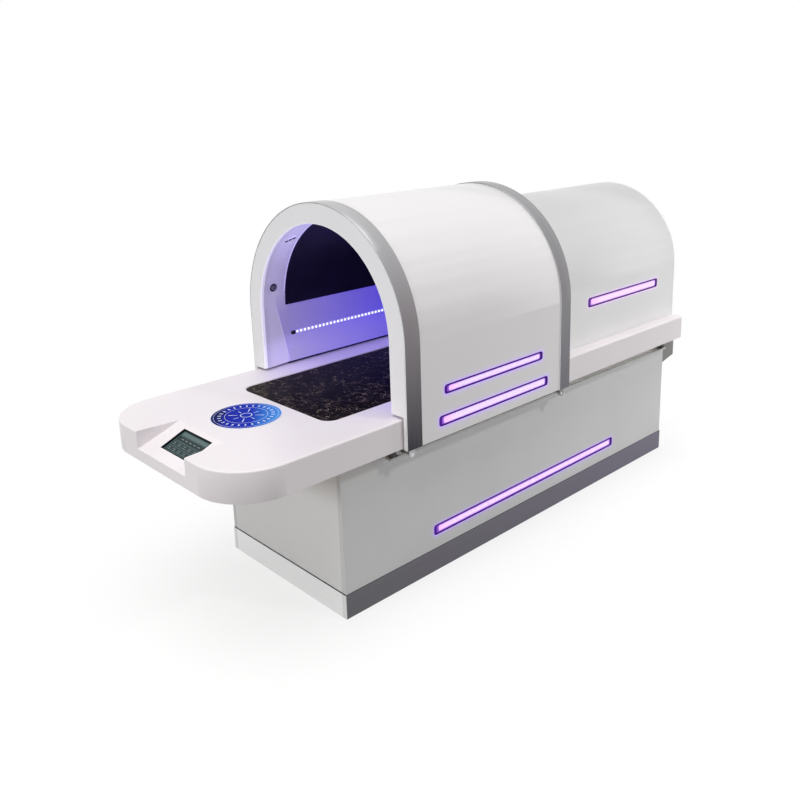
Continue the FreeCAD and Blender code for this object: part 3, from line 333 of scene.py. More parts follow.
# Painted glow: the emission is weaker below the strip's height, and the base colour turns violet towards
# the back
liner_painted_glow_rise = liner_paint.levels(liner_paint.axes()[2], (strip_z - 70 * MM, strip_z), (0.36, 0.76))
liner_paint.set("Emission Strength", liner_painted_glow_rise)
liner_painted_glow_back = liner_paint.levels(liner_paint.axes()[0], liner_span, (0.0, 0.9))
liner_paint.set("Base Color", liner_paint.mix(liner_painted_glow_back, liner_paint.colour(), (0.34, 0.30, 0.80)))
reveal_paint = lit_wall("reveal_wall", 2, (low("hood_reveal").z, high("hood_reveal").z),
                        (0.0, (0.24, 0.20, 0.38)), (0.65, (0.25, 0.21, 0.43)), (0.9, (0.43, 0.39, 0.76)))
# Painted glow on the reveal, rising over its first few centimetres from the front, and a painted highlight
# along its back rim on its upper part
REVEAL_PAINTED_HIGHLIGHT_Z = 0.868
reveal_start = low("hood_reveal").x
reveal_end = high("hood_reveal").x
reveal_x, _, reveal_z = reveal_paint.axes()
reveal_glow = reveal_paint.levels(reveal_x, (reveal_start, reveal_start + 28 * MM), (0.45, 0.8))
reveal_painted_highlight = reveal_paint.levels(reveal_x, (reveal_end - 7 * MM, reveal_end - 3 * MM), (0.0, 0.9))
reveal_crown = reveal_paint.calc("GREATER_THAN", reveal_z, REVEAL_PAINTED_HIGHLIGHT_Z)
reveal_painted_highlight = reveal_paint.calc("MULTIPLY", reveal_painted_highlight, reveal_crown)
reveal_paint.set("Emission Strength", reveal_paint.calc("ADD", reveal_glow, reveal_painted_highlight))
# The crease has its own painted violet glow, as emission graded with height
CREASE_SHADES_Z = (0.62, 0.86)
crease_paint = lit_wall("crease_wall", 2, CREASE_SHADES_Z, (0.0, (0.09, 0.05, 0.33)),
                        (0.7, (0.12, 0.08, 0.36)), (1.0, (0.22, 0.18, 0.38)))

# Metals and the painted roller brackets; plinths are pale at both ends, rails have painted shade on their
# outer lip, and the back brackets have painted shade
plinth_side = brushed("plinth_side_metal", (0.13, 0.128, 0.138), (0.10, 0.098, 0.106), (3, 3, 700))
plinth_x = plinth_side.axes()[0]
plinth_start = low("side_plinths").x
plinth_stop = high("side_plinths").x
near_head = plinth_side.levels(plinth_x, (plinth_start + 1 * MM, plinth_start + 2 * MM), (1, 0))
near_foot = plinth_side.levels(plinth_x, (plinth_stop - 2 * MM, plinth_stop - 1 * MM), (0, 1))
tinted = plinth_side.levels(plinth_x, (plinth_start, plinth_stop), (0.0, 0.75))
plinth_streaks = plinth_side.mix(tinted, plinth_side.colour(), (0.165, 0.145, 0.205))
plinth_side.set("Base Color", plinth_side.mix(plinth_side.calc("MAXIMUM", near_head, near_foot),
                                              plinth_streaks, (0.62, 0.62, 0.62)))
plinth_end = brushed("plinth_end_metal", (0.78, 0.78, 0.78), (0.71, 0.71, 0.71), (3, 3, 700))
rail_metal = brushed("rail_metal", (0.92, 0.92, 0.91), (0.86, 0.86, 0.85), (3, 500, 500), 0.45, 0.1)
# Painted shade: the rails' outer lip is darker
rail_lip = high("slide_rails").y
rail_depth = rail_metal.calc("ABSOLUTE", rail_metal.axes()[1])
rail_lip_painted_shade = rail_metal.levels(rail_depth, (rail_lip - 3 * MM, rail_lip - 1 * MM), (0, 1))
rail_metal.set("Base Color", rail_metal.mix(rail_lip_painted_shade, rail_metal.colour(), (0.56, 0.56, 0.56)))
steel = brushed("turned_steel", (0.62, 0.62, 0.64), (0.5, 0.5, 0.52), (300, 300, 300), 0.25)
frame_metal = brushed("hood_frame_metal", (0.6, 0.6, 0.62), (0.5, 0.5, 0.52), (40, 40, 400), 0.4)
box_metal = brushed("service_box_metal", (0.25, 0.245, 0.24), (0.21, 0.205, 0.20), (300, 4, 300), 0.5, 0.1)
# Painted shade: the back roller brackets are darker than the front ones
BRACKETS_PAINTED_SHADE_X = (-0.2, 0.0)
bracket_paint = plastic("bracket_paint", (0.80, 0.80, 0.80), (0.74, 0.74, 0.74), 0.35)
bracket_painted_shade = bracket_paint.levels(bracket_paint.axes()[0], BRACKETS_PAINTED_SHADE_X, (0.0, 1.0))
bracket_paint.set("Base Color", bracket_paint.mix(bracket_painted_shade, bracket_paint.colour(), (0.34, 0.34, 0.34)))


def trim_metal(name, node, top, shoulder, foot):
    """Satin alloy band, brushed round the arch, with a painted reflection that darkens it towards the floor
    and a painted highlight along its front edge.
    """
    paint = Paint(name, {"Metallic": 0.85})
    z = paint.axes()[2]
    # Painted reflection: pale at the top of the band, dark towards the floor
    rise = paint.levels(z, (low("front_trim").z, high("front_trim").z), (0.0, 1.0))
    tone = paint.ramp(rise, (0.0, foot), (0.55, shoulder), (1.0, top))
    streaks = paint.noise(1.0, 3.0, paint.stretched((900, 5, 5)))
    tone = paint.mix(paint.levels(streaks, (0.3, 0.7), (0.0, 0.25)), tone, (0.2, 0.2, 0.21))
    # Painted highlight along the front edge, paler lower down
    face_x = low(node).x
    edge = paint.levels(paint.axes()[0], (face_x + 0.8 * MM, face_x + 1.2 * MM), (1.0, 0.0))
    edge_painted_highlight = paint.ramp(rise, (0.40, (0.80, 0.80, 0.81)), (0.72, (0.40, 0.40, 0.41)))
    paint.set("Base Color", paint.mix(edge, tone, edge_painted_highlight))
    paint.set("Roughness", paint.levels(streaks, (0.3, 0.7), (0.28, 0.40)))
    paint.bump(streaks, 0.05, 0.3 * MM)
    return paint


front_trim_metal = trim_metal("front_trim_metal", "front_trim", (0.53, 0.53, 0.54), (0.23, 0.21, 0.22),
                              (0.014, 0.012, 0.020))
rear_trim_metal = trim_metal("rear_trim_metal", "rear_trim", (0.38, 0.375, 0.385), (0.26, 0.25, 0.265),
                             (0.13, 0.13, 0.145))

# Timber, foam, rubber and plastics
timber = Paint("frame_timber", {"Roughness": 0.7})
rings = timber.noise(1.0, 6.0, timber.stretched((6, 90, 90)), 1.2)
timber.set("Base Color", timber.ramp(rings, (0.3, (0.42, 0.28, 0.16)), (0.7, (0.62, 0.46, 0.30))))
timber.bump(rings, 0.2, 0.6 * MM)
foam = plastic("insulation_foam", (0.62, 0.58, 0.50), (0.55, 0.51, 0.43), 0.85, 250.0, 0.6)
film = plastic("heating_film", (0.05, 0.05, 0.055), (0.03, 0.03, 0.035), 0.4)
rubber = plastic("seal_black", (0.035, 0.035, 0.035), (0.02, 0.02, 0.02), 0.7)
brush_paint = plastic("liner_brush", (0.012, 0.010, 0.075), (0.006, 0.005, 0.045), 0.8, 1500.0, 0.6)
stop_rubber = plastic("stop_rubber", (0.14, 0.14, 0.14), (0.10, 0.10, 0.10), 0.7)
seal_white = plastic("seal_white", (0.78, 0.75, 0.76), (0.72, 0.69, 0.70), 0.45)
nylon = plastic("roller_nylon", (0.66, 0.66, 0.63), (0.58, 0.58, 0.55), 0.4)
screen_black = plastic("screen_black", (0.012, 0.013, 0.013), (0.007, 0.008, 0.008), 0.5)
screen_black.set("Specular IOR Level", 0.08)
black = plastic("moulded_black", (0.022, 0.022, 0.023), (0.012, 0.012, 0.013), 0.42)
rocker_black = plastic("rocker_black", (0.045, 0.045, 0.045), (0.03, 0.03, 0.03), 0.28)
board = plastic("light_board", (0.75, 0.75, 0.72), (0.68, 0.68, 0.65), 0.5)

# Heating panel: dark satin sheet with a fine woven carbon grain
heater = Paint("heater_panel", {"Specular IOR Level": 0.25})
heater.set("Base Color", heater.ramp(heater.noise(6.0, 3.0), (0.3, (0.014, 0.010, 0.044)),
                                     (0.7, (0.021, 0.015, 0.064))))
heater.set("Roughness", heater.levels(heater.noise(9.0, 2.0), (0.3, 0.7), (0.38, 0.5)))
weave = heater.add("ShaderNodeTexChecker")
heater.feed(weave.inputs["Vector"], heater.spot)
weave.inputs["Scale"].default_value = 500.0
heater.bump(weave.outputs["Fac"], 0.08, 0.2 * MM)

# Polished dark stone with thin brown curls
stone = Paint("dark_stone", {"Specular IOR Level": 0.012, "Roughness": 0.24})
bend = stone.add("ShaderNodeTexNoise")
stone.feed(bend.inputs["Vector"], stone.spot)
bend.inputs["Scale"].default_value = 26.0
bend.inputs["Detail"].default_value = 3.0
offset = stone.add("ShaderNodeVectorMath", operation="SCALE")
stone.feed(offset.inputs[0], bend.outputs["Color"])
offset.inputs["Scale"].default_value = 0.05
bent = stone.add("ShaderNodeVectorMath", operation="ADD")
stone.feed(bent.inputs[0], stone.stretched((1.7, 0.75, 1.0)))
stone.feed(bent.inputs[1], offset.outputs[0])


def curls(scale, width):
    cells = stone.add("ShaderNodeTexVoronoi", feature="DISTANCE_TO_EDGE")
    stone.feed(cells.inputs["Vector"], bent.outputs[0])
    cells.inputs["Scale"].default_value = scale
    line = stone.levels(cells.outputs["Distance"], (0.0, width), (1.0, 0.0))
    broken = stone.levels(stone.noise(scale * 0.8, 3.0), (0.50, 0.58), (0.0, 1.0))
    return stone.calc("MULTIPLY", line, broken)


veins = stone.calc("MAXIMUM", curls(26.0, 0.020), stone.calc("MULTIPLY", curls(52.0, 0.03), 0.5))
specks = stone.levels(stone.noise(340.0, 2.0), (0.64, 0.80), (0.0, 0.2))
veins = stone.calc("MAXIMUM", veins, specks)
ground = stone.ramp(stone.noise(9.0, 4.0), (0.3, (0.0055, 0.0045, 0.0045)), (0.7, (0.012, 0.0095, 0.009)))
stone.set("Base Color", stone.mix(veins, ground, (0.38, 0.28, 0.235)))
stone.bump(stone.noise(160.0, 2.0), 0.02, 0.2 * MM)

# Lit slots and strips of light dots
hood_lens = lit("hood_lens", (0.88, 0.74, 0.98), (0.50, 0.24, 0.90), hood_slots, 6 * MM)
base_lens = lit("base_lens", (0.92, 0.72, 0.97), (0.46, 0.18, 0.84), base_slots, 8 * MM)
rear_lens = lit("rear_lens", (0.94, 0.74, 0.97), (0.66, 0.36, 0.90), rear_slots, 7 * MM)
hood_bezel = bezel("hood_bezel", hood_slots)
base_bezel = bezel("base_bezel", base_slots)
rear_bezel = bezel("rear_bezel", rear_slots, (0.16, 0.04, 0.30))
strip = Paint("led_strip_board", {"Roughness": 0.5})
strip.set("Base Color", strip.ramp(strip.noise(200.0, 2.0), (0.3, (0.45, 0.42, 0.7)),
                                   (0.7, (0.55, 0.52, 0.8))))
strip.set("Emission Color", (0.40, 0.36, 0.95, 1.0))
strip.set("Emission Strength", 0.55)
dot = Paint("led_dot", {"Roughness": 0.3, "Base Color": (0.8, 0.8, 0.85, 1.0)})
dot.set("Emission Color", dot.ramp(dot.noise(300.0, 1.0), (0.3, (0.80, 0.86, 1.0)),
                                   (0.7, (0.92, 0.95, 1.0))))
dot.set("Emission Strength", 1.3)

# Disc, screen, button and vent
disc = Paint("disc_blue", {"Roughness": 0.25, "Specular IOR Level": 0.01})
disc_axes = disc.axes()
across = disc.calc("SUBTRACT", disc_axes[0], disc.calc("MULTIPLY", disc_axes[1], 0.8))
centre_x = (low("emblem_disc").x + high("emblem_disc").x) / 2
disc_radius = (high("emblem_disc").x - low("emblem_disc").x) / 2
sweep = disc.levels(across, (centre_x - disc_radius, centre_x + disc_radius * 1.2), (0.0, 1.0))
cloud = disc.calc("MULTIPLY", disc.calc("SUBTRACT", disc.noise(30.0, 3.0), 0.5), 0.15)
disc.set("Base Color", disc.ramp(disc.calc("ADD", sweep, cloud), (0.0, (0.002, 0.005, 0.10)),
                                 (0.15, (0.003, 0.012, 0.36)), (0.55, (0.003, 0.022, 0.42)),
                                 (0.70, (0.025, 0.14, 0.58)), (1.0, (0.07, 0.29, 0.75))))
print_white = plastic("print_white", (0.72, 0.80, 0.92), (0.60, 0.70, 0.86), 0.35)
pale_rim = plastic("pale_rim", (0.78, 0.80, 0.90), (0.70, 0.73, 0.86), 0.3)


def display(name, pale, dark):
    """Lit display area with the faint mottle of its pixels."""
    paint = Paint(name, {"Roughness": 0.3, "Specular IOR Level": 0.1})
    paint.set("Base Color", (0.01, 0.012, 0.012, 1.0))
    paint.set("Emission Color", paint.ramp(paint.noise(420.0, 2.0), (0.35, dark), (0.65, pale)))
    paint.set("Emission Strength", 1.0)
    return paint


screen = display("screen_face", (0.055, 0.100, 0.105), (0.030, 0.060, 0.063))
screen_pale = display("screen_band", (0.125, 0.180, 0.180), (0.085, 0.130, 0.130))
screen_dark = display("screen_shade", (0.016, 0.030, 0.030), (0.008, 0.018, 0.018))
screen_mark = display("screen_mark", (0.24, 0.31, 0.32), (0.18, 0.25, 0.26))
button_ring = brushed("button_ring", (0.03, 0.022, 0.06), (0.02, 0.015, 0.045), (200, 200, 200), 0.4, 0.4)
button_face = plastic("button_face", (0.34, 0.31, 0.46), (0.28, 0.25, 0.39), 0.3)
# Painted shade: dark plastic for the vent inserts, standing in for the shade in the slots
vent_dark = plastic("vent_dark", (0.016, 0.010, 0.05), (0.010, 0.007, 0.035), 0.5)
vent_dark.set("Specular IOR Level", 0.06)

FINISHES = {
    "deck_shell": deck_paint, "hood_skin": skin_paint, "front_ring": front_ring_paint,
    "rear_ring": ring_paint, "hood_reveal": reveal_paint, "hood_liner": liner_paint,
    "rear_shell": rear_paint, "rear_rim": rear_paint,
    "rear_end_panel": ring_paint, "right_side_panel": side_shaded_paint, "left_side_panel": side_shaded_paint,
    "head_end_panel": panel_paint, "foot_end_panel": panel_paint, "side_plinths": plinth_side,
    "end_plinths": plinth_end, "front_trim": front_trim_metal, "rear_trim": rear_trim_metal,
    "base_frame": timber, "deck_board": timber, "hood_frame": frame_metal, "slide_rails": rail_metal,
    "roller_brackets": bracket_paint, "roller_axles": steel, "levelling_feet": steel, "box_screws": steel,
    "front_left_roller": nylon, "front_right_roller": nylon, "back_left_roller": nylon,
    "back_right_roller": nylon, "rail_stops": stop_rubber, "rear_seal": rubber, "plate_seal": seal_white,
    "stone_plate": stone, "hood_heater_panel": heater, "rear_heater_panel": heater, "heating_film": film,
    "insulation_mat": foam, "emblem_disc": disc, "screen_bezel": screen_black, "screen_housing": black,
    "screen_glass": screen, "hood_light_lenses": hood_lens, "base_light_lenses": base_lens,
    "rear_light_lenses": rear_lens, "led_strips": strip, "hood_light_bezels": hood_bezel,
    "base_light_bezels": base_bezel, "rear_light_bezels": rear_bezel, "hood_light_boards": board,
    "base_light_boards": board, "rear_light_boards": board, "service_box": box_metal,
    "power_supply": box_metal, "power_inlet": black, "switch_frame": black, "rocker_switch": rocker_black,
    "button_housing": button_ring, "button_cap": button_face, "vent_cover": reveal_paint,
}
for name, paint in FINISHES.items():
    nodes[name].data.materials.clear()
    nodes[name].data.materials.append(paint.material)

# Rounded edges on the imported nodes, in millimetres
EDGES = {
    "deck_shell": 2.0, "hood_skin": 1.0, "front_ring": 2.5, "rear_ring": 2.0, "front_trim": 0.9,
    "rear_trim": 0.9, "rear_shell": 1.0, "rear_rim": 2.5, "rear_end_panel": 4.0, "hood_reveal": 0.8,
    "hood_liner": 0.8, "right_side_panel": 1.2, "left_side_panel": 1.2, "head_end_panel": 1.2,
    "foot_end_panel": 1.2, "side_plinths": 1.5, "end_plinths": 1.5, "stone_plate": 1.5,
    "service_box": 0.8, "power_inlet": 0.6, "switch_frame": 0.6, "rocker_switch": 1.0,
    "screen_bezel": 0.5, "emblem_disc": 0.5, "rail_stops": 1.0, "slide_rails": 0.6,
    "roller_brackets": 0.8, "base_frame": 2.0, "button_housing": 1.0, "button_cap": 1.0,
    "front_left_roller": 1.2, "front_right_roller": 1.2, "back_left_roller": 1.2,
    "back_right_roller": 1.2, "power_supply": 3.0, "box_screws": 0.6, "vent_cover": 0.5,
    "hood_light_bezels": 0.5, "base_light_bezels": 0.5, "rear_light_bezels": 0.5,
    "hood_light_lenses": 0.6, "base_light_lenses": 0.6, "rear_light_lenses": 0.6,
}
for name, width in EDGES.items():
    weld = nodes[name].modifiers.new("weld", "WELD")
    weld.merge_threshold = 0.01 * MM
    bevel = nodes[name].modifiers.new("edge", "BEVEL")
    bevel.width = width * MM
    bevel.segments = 2
    bevel.limit_method = "ANGLE"
    bevel.angle_limit = math.radians(35)
    bevel.harden_normals = True


# Added pieces
def make(name, builder, paint, body):
    """A mesh piece that rides on a body and takes the finish it is given."""
    mesh = bpy.data.meshes.new(name)
    work = bmesh.new()
    builder(work)
    bmesh.ops.recalc_face_normals(work, faces=work.faces)
    work.to_mesh(mesh)
    work.free()
    piece = bpy.data.objects.new(name, mesh)
    bpy.context.scene.collection.objects.link(piece)
    mesh.materials.append(paint.material)
    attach(piece, body)
    return piece


def prism(work, outline, depth, place):
    """A flat plate from an outline in its own plane, moved to its place."""
    below = [work.verts.new(place @ Vector((u, v, 0.0))) for u, v in outline]
    above = [work.verts.new(place @ Vector((u, v, depth))) for u, v in outline]
    work.faces.new(below[::-1])
    work.faces.new(above)
    for index in range(len(outline)):
        after = (index + 1) % len(outline)
        work.faces.new((below[index], below[after], above[after], above[index]))


def rounded(width, height, radius, steps=4):
    """Outline of a rectangle with round corners, about its middle."""
    outline = []
    corners = ((1, 1, 0), (-1, 1, 90), (-1, -1, 180), (1, -1, 270))
    for side_u, side_v, start in corners:
        for step in range(steps + 1):
            angle = math.radians(start + 90 * step / steps)
            outline.append((side_u * (width / 2 - radius) + radius * math.cos(angle),
                            side_v * (height / 2 - radius) + radius * math.sin(angle)))
    return outline


def ring_plate(work, inner, outer, depth, place, start=0.0, turn=360.0, steps=96):
    """A flat ring or part of one, about the origin of its place."""
    closed = turn >= 360.0
    count = steps if closed else steps + 1
    rows = []
    for step in range(count):
        angle = math.radians(start + turn * step / steps)
        spot = [(radius * math.cos(angle), radius * math.sin(angle)) for radius in (inner, outer)]
        rows.append([work.verts.new(place @ Vector((*spot[0], 0.0))),
                     work.verts.new(place @ Vector((*spot[1], 0.0))),
                     work.verts.new(place @ Vector((*spot[1], depth))),
                     work.verts.new(place @ Vector((*spot[0], depth)))])
    for index in range(count if closed else count - 1):
        one = rows[index]
        two = rows[(index + 1) % count]
        for corner in range(4):
            after = (corner + 1) % 4
            work.faces.new((one[corner], two[corner], two[after], one[after]))
    if not closed:
        work.faces.new(rows[0])
        work.faces.new(rows[-1][::-1])


def dome(work, radius, rise, place, around=14, up=4):
    """A shallow round dome on a flat base."""
    rows = []
    for level in range(up):
        angle = math.radians(90 * level / up)
        reach = radius * math.cos(angle)
        rows.append([work.verts.new(place @ Vector((reach * math.cos(math.tau * step / around),
                                                    reach * math.sin(math.tau * step / around),
                                                    rise * math.sin(angle)))) for step in range(around)])
    top = work.verts.new(place @ Vector((0.0, 0.0, rise)))
    work.faces.new(rows[0][::-1])
    for lower, upper in zip(rows, rows[1:]):
        for step in range(around):
            after = (step + 1) % around
            work.faces.new((lower[step], lower[after], upper[after], upper[step]))
    for step in range(around):
        work.faces.new((rows[-1][step], rows[-1][(step + 1) % around], top))


def smooth(piece, angle=40):
    for face in piece.data.polygons:
        face.use_smooth = True
    piece.data.set_sharp_from_angle(angle=math.radians(angle))
    return piece


# Rows of light dots on the strips, taller than wide, with a black connector at the front of each
DOT_PITCH = 17.2 * MM
FIRST_DOT = 22 * MM
DOT_RADIUS = 4.2 * MM
DOT_RISE = 2.0 * MM
STRIP_FACE_IN = 2.4 * MM
taller = Matrix.Diagonal((1.0, 1.15, 1.0, 1.0))
for side, sign in (("left", 1), ("right", -1)):
    face_y = sign * (strip_high.y - STRIP_FACE_IN)
    inward = Matrix.Rotation(math.radians(90 * sign), 4, "X")

    def dots(work):
        x = strip_low.x + FIRST_DOT
        while x < strip_high.x - DOT_PITCH / 2:
            dome(work, DOT_RADIUS, DOT_RISE, Matrix.Translation((x, face_y, strip_z)) @ inward @ taller)
            x += DOT_PITCH

    smooth(make("led_dots_" + side, dots, dot, "front_hood"))

    def connector(work):
        place = Matrix.Translation((strip_low.x + 3 * MM, face_y, strip_z)) @ inward
        prism(work, rounded(18 * MM, 13 * MM, 2 * MM), 4 * MM, place)

    plug = make("led_connector_" + side, connector, black, "front_hood")
    soften = plug.modifiers.new("edge", "BEVEL")
    soften.width = 0.8 * MM
    soften.segments = 2

# Printed pattern on the disc: a pale rim, a ring of dashes, thin circles and a sun of plain rays
disc_top = high("emblem_disc").z
disc_place = Matrix.Translation((centre_x, 0.0, disc_top))
PRINT = 0.25 * MM
DASHES = 26
DASH_TURN = 3.2
RAYS = 8
RAY_TURN = 3.6


def disc_pattern(work):
    ring_plate(work, 0.61 * disc_radius, 0.62 * disc_radius, PRINT, disc_place)
    ring_plate(work, 0.925 * disc_radius, 0.933 * disc_radius, PRINT, disc_place)
    for index in range(DASHES):
        start = 360 / DASHES * index - DASH_TURN / 2
        ring_plate(work, 0.72 * disc_radius, 0.82 * disc_radius, PRINT, disc_place, start, DASH_TURN, 3)
    for index in range(RAYS):
        start = 360 / RAYS * index - RAY_TURN / 2
        tip = 0.52 if index % 2 else 0.42
        ring_plate(work, 0.26 * disc_radius, tip * disc_radius, PRINT, disc_place, start, RAY_TURN, 2)
    ring_plate(work, 0.15 * disc_radius, 0.175 * disc_radius, PRINT, disc_place)


make("disc_pattern", disc_pattern, print_white, "base")


def disc_rim(work):
    ring_plate(work, disc_radius + 0.1 * MM, disc_radius + 2.6 * MM, 1.2 * MM,
               Matrix.Translation((centre_x, 0.0, high("deck_shell").z)))


make("disc_rim", disc_rim, pale_rim, "base")

# Plain layout on the screen: a pale band at its top, a dark band and two rows of fields with bars
glass_low = low("screen_glass")
glass_high = high("screen_glass")
GLASS_THICK = 2 * MM
outward = max((face for face in nodes["screen_glass"].data.polygons if face.normal.z > 0),
              key=lambda face: face.area).normal.copy()
uphill = Vector((outward.z, 0.0, -outward.x))
glass_middle = (glass_low + glass_high) / 2 + outward * GLASS_THICK / 2
glass_turn = Matrix((Vector((0.0, -1.0, 0.0)), uphill, outward)).transposed().to_4x4()
glass_place = Matrix.Translation(glass_middle) @ glass_turn


def tiles(name, paint, height, fields):
    """Flat fields on the glass; each is the place of its middle and its size, in millimetres."""

    def build(work):
        for right, up, wide, tall in fields:
            prism(work, rounded(wide * MM, tall * MM, 0.8 * MM, 2), height * MM,
                  glass_place @ Matrix.Translation((right * MM, up * MM, 0.0)))

    return make(name, build, paint, "base")


columns = (-55, -27.5, 0, 27.5, 55)
rows = (-8, -28)
tiles("screen_top_band", screen_pale, 0.2, [(0, 31, 139, 12)])
tiles("screen_middle_band", screen_dark, 0.2, [(0, 13, 139, 16)])
tiles("screen_fields", screen_dark, 0.2, [(column, row, 23, 15) for column in columns for row in rows])
marks = [(column - 3, row + 3, 11, 2) for column in columns for row in rows]
marks += [(column - 1, row - 3, 15, 1.6) for column in columns for row in rows]
marks += [(-44 + 22 * index, 13, 12, 2.4) for index in range(5)]
tiles("screen_marks", screen_mark, 0.4, marks)


def inner_reach(node, out):
    """Least distance of a node from the axis of the arch, along a direction out of it."""
    axis = Vector((0.0, 0.0, SPRING_Z))
    return min((vertex.co - axis).dot(out) for vertex in nodes[node].data.vertices)


# Dark inserts in the slots of the vent, along its tilted row, each with a rim on the face; the slots are
# real, and the dark inserts and rims stand in for the shade inside them
VENT_ANGLE = math.radians(49)
VENT_TILT = math.radians(30)
SLOT_STEP = 40 / 3 * MM
INSERT_DEEP = 3.9 * MM
INSERT_RIM = 0.8 * MM
RIM_GAP = 0.1 * MM
vent_middle = (low("vent_cover") + high("vent_cover")) / 2
vent_out = Vector((0.0, math.cos(VENT_ANGLE), math.sin(VENT_ANGLE)))
vent_row = Vector((math.cos(VENT_TILT), -math.sin(VENT_TILT) * vent_out.z,
                   math.sin(VENT_TILT) * vent_out.y))
vent_turn = Matrix((vent_row, vent_row.cross(vent_out), -vent_out)).transposed().to_4x4()
vent_spot = Vector((vent_middle.x, 0.0, SPRING_Z)) + vent_out * inner_reach("vent_cover", vent_out)


def vent_inserts(work):
    for step in (-1, 0, 1):
        spot = vent_spot + vent_row * step * SLOT_STEP
        prism(work, rounded(9.8 * MM, 3.8 * MM, 0.6 * MM, 2), INSERT_DEEP,
              Matrix.Translation(spot + vent_out * INSERT_DEEP) @ vent_turn)
        prism(work, rounded(11.4 * MM, 8.6 * MM, 1.6 * MM), INSERT_RIM,
              Matrix.Translation(spot + vent_out * RIM_GAP) @ vent_turn)


make("vent_inserts", vent_inserts, vent_dark, "front_hood")

# Dark dot in the middle of the push button
BUTTON_ANGLE = math.radians(12.8)
cap_out = Vector((0.0, math.cos(BUTTON_ANGLE), math.sin(BUTTON_ANGLE)))
cap_x = (low("button_cap").x + high("button_cap").x) / 2
cap_across = Vector((1.0, 0.0, 0.0))
cap_turn = Matrix((cap_across, cap_across.cross(cap_out), -cap_out)).transposed().to_4x4()
cap_spot = Vector((cap_x, 0.0, SPRING_Z)) + cap_out * inner_reach("button_cap", cap_out)


def button_dot(work):
    dome(work, 2.6 * MM, 0.4 * MM, Matrix.Translation(cap_spot) @ cap_turn)


smooth(make("button_dot", button_dot, button_ring, "button"))

# Dark brush along the foot of the liner, just clear of the deck
BRUSH_GAP = 1.2 * MM
BRUSH_HALF = 1 * MM
BRUSH_IN = 1.5 * MM
for side, sign in (("left", 1), ("right", -1)):

    def brush(work):
        liner_low = low("hood_liner")
        liner_high = high("hood_liner")
        deck_z = high("deck_shell").z
        outline = [(liner_low.x, -BRUSH_HALF), (liner_high.x, -BRUSH_HALF),
                   (liner_high.x, BRUSH_HALF), (liner_low.x, BRUSH_HALF)]
        prism(work, outline, liner_low.z - deck_z - BRUSH_GAP,
              Matrix.Translation((0.0, sign * (liner_high.y - BRUSH_IN), deck_z + BRUSH_GAP)))

    make("liner_brush_" + side, brush, brush_paint, "front_hood")

# Slanted crease where the reveal folds into the liner, on both walls
REVEAL_FRONT_R = 0.324
REVEAL_BACK_R = 0.336
CREASE_TOP = (-0.490, 0.859)
CREASE_LOW_Z = 0.6085
CREASE_STEPS = 12
crease_low = reveal_end + 8 * MM
crease_end = reveal_end + 10 * MM


def wall_y(x, z):
    """Half width of the inside at a place along the reveal, or on the liner behind it, and a height."""
    share = min((x - reveal_start) / (reveal_end - reveal_start), 1.0)
    radius = REVEAL_FRONT_R + (REVEAL_BACK_R - REVEAL_FRONT_R) * share
    above = max(z - SPRING_Z, 0.0)
    return math.sqrt(radius * radius - above * above)


def chain(work, rows):
    """Skin over a row of four-cornered sections, closed at both ends."""
    made = [[work.verts.new(corner) for corner in row] for row in rows]
    for one, two in zip(made, made[1:]):
        for corner in range(4):
            after = (corner + 1) % 4
            work.faces.new((one[corner], two[corner], two[after], one[after]))
    work.faces.new(made[0])
    work.faces.new(made[-1][::-1])


for side, sign in (("left", 1), ("right", -1)):

    def crease(work):
        rows = []
        for step in range(CREASE_STEPS + 1):
            share = step / CREASE_STEPS
            z = CREASE_LOW_Z + (CREASE_TOP[1] - CREASE_LOW_Z) * share
            front = crease_low + (CREASE_TOP[0] - crease_low) * share
            proud = (2.2 - 1.9 * share) * MM
            rows.append([Vector((front, sign * (wall_y(front, z) - proud), z)),
                         Vector((crease_end, sign * (wall_y(crease_end, z) - 0.3 * MM), z)),
                         Vector((crease_end, sign * (wall_y(crease_end, z) + 0.6 * MM), z)),
                         Vector((front, sign * (wall_y(front, z) + 0.6 * MM), z))])
        chain(work, rows)

    make("reveal_crease_" + side, crease, crease_paint, "front_hood")

# Dark strip in the joint between the end panels and the pale end plinths, standing in for the shadow in
# that joint
JOINT_HALF_DEEP = 0.9 * MM
JOINT_HALF_WIDE = 0.302
JOINT_TALL = 3 * MM
JOINT_IN = 1.1 * MM
for end, face, inward_x in (("head", low("end_plinths").x, 1), ("foot", high("end_plinths").x, -1)):

    def shadow_gap_strip(work):
        plinth_top = high("end_plinths").z
        middle_x = face + inward_x * JOINT_IN
        outline = [(-JOINT_HALF_DEEP, -JOINT_HALF_WIDE), (JOINT_HALF_DEEP, -JOINT_HALF_WIDE),
                   (JOINT_HALF_DEEP, JOINT_HALF_WIDE), (-JOINT_HALF_DEEP, JOINT_HALF_WIDE)]
        prism(work, outline, JOINT_TALL, Matrix.Translation((middle_x, 0.0, plinth_top)))

    make("plinth_shadow_strip_" + end, shadow_gap_strip, rubber, "base")

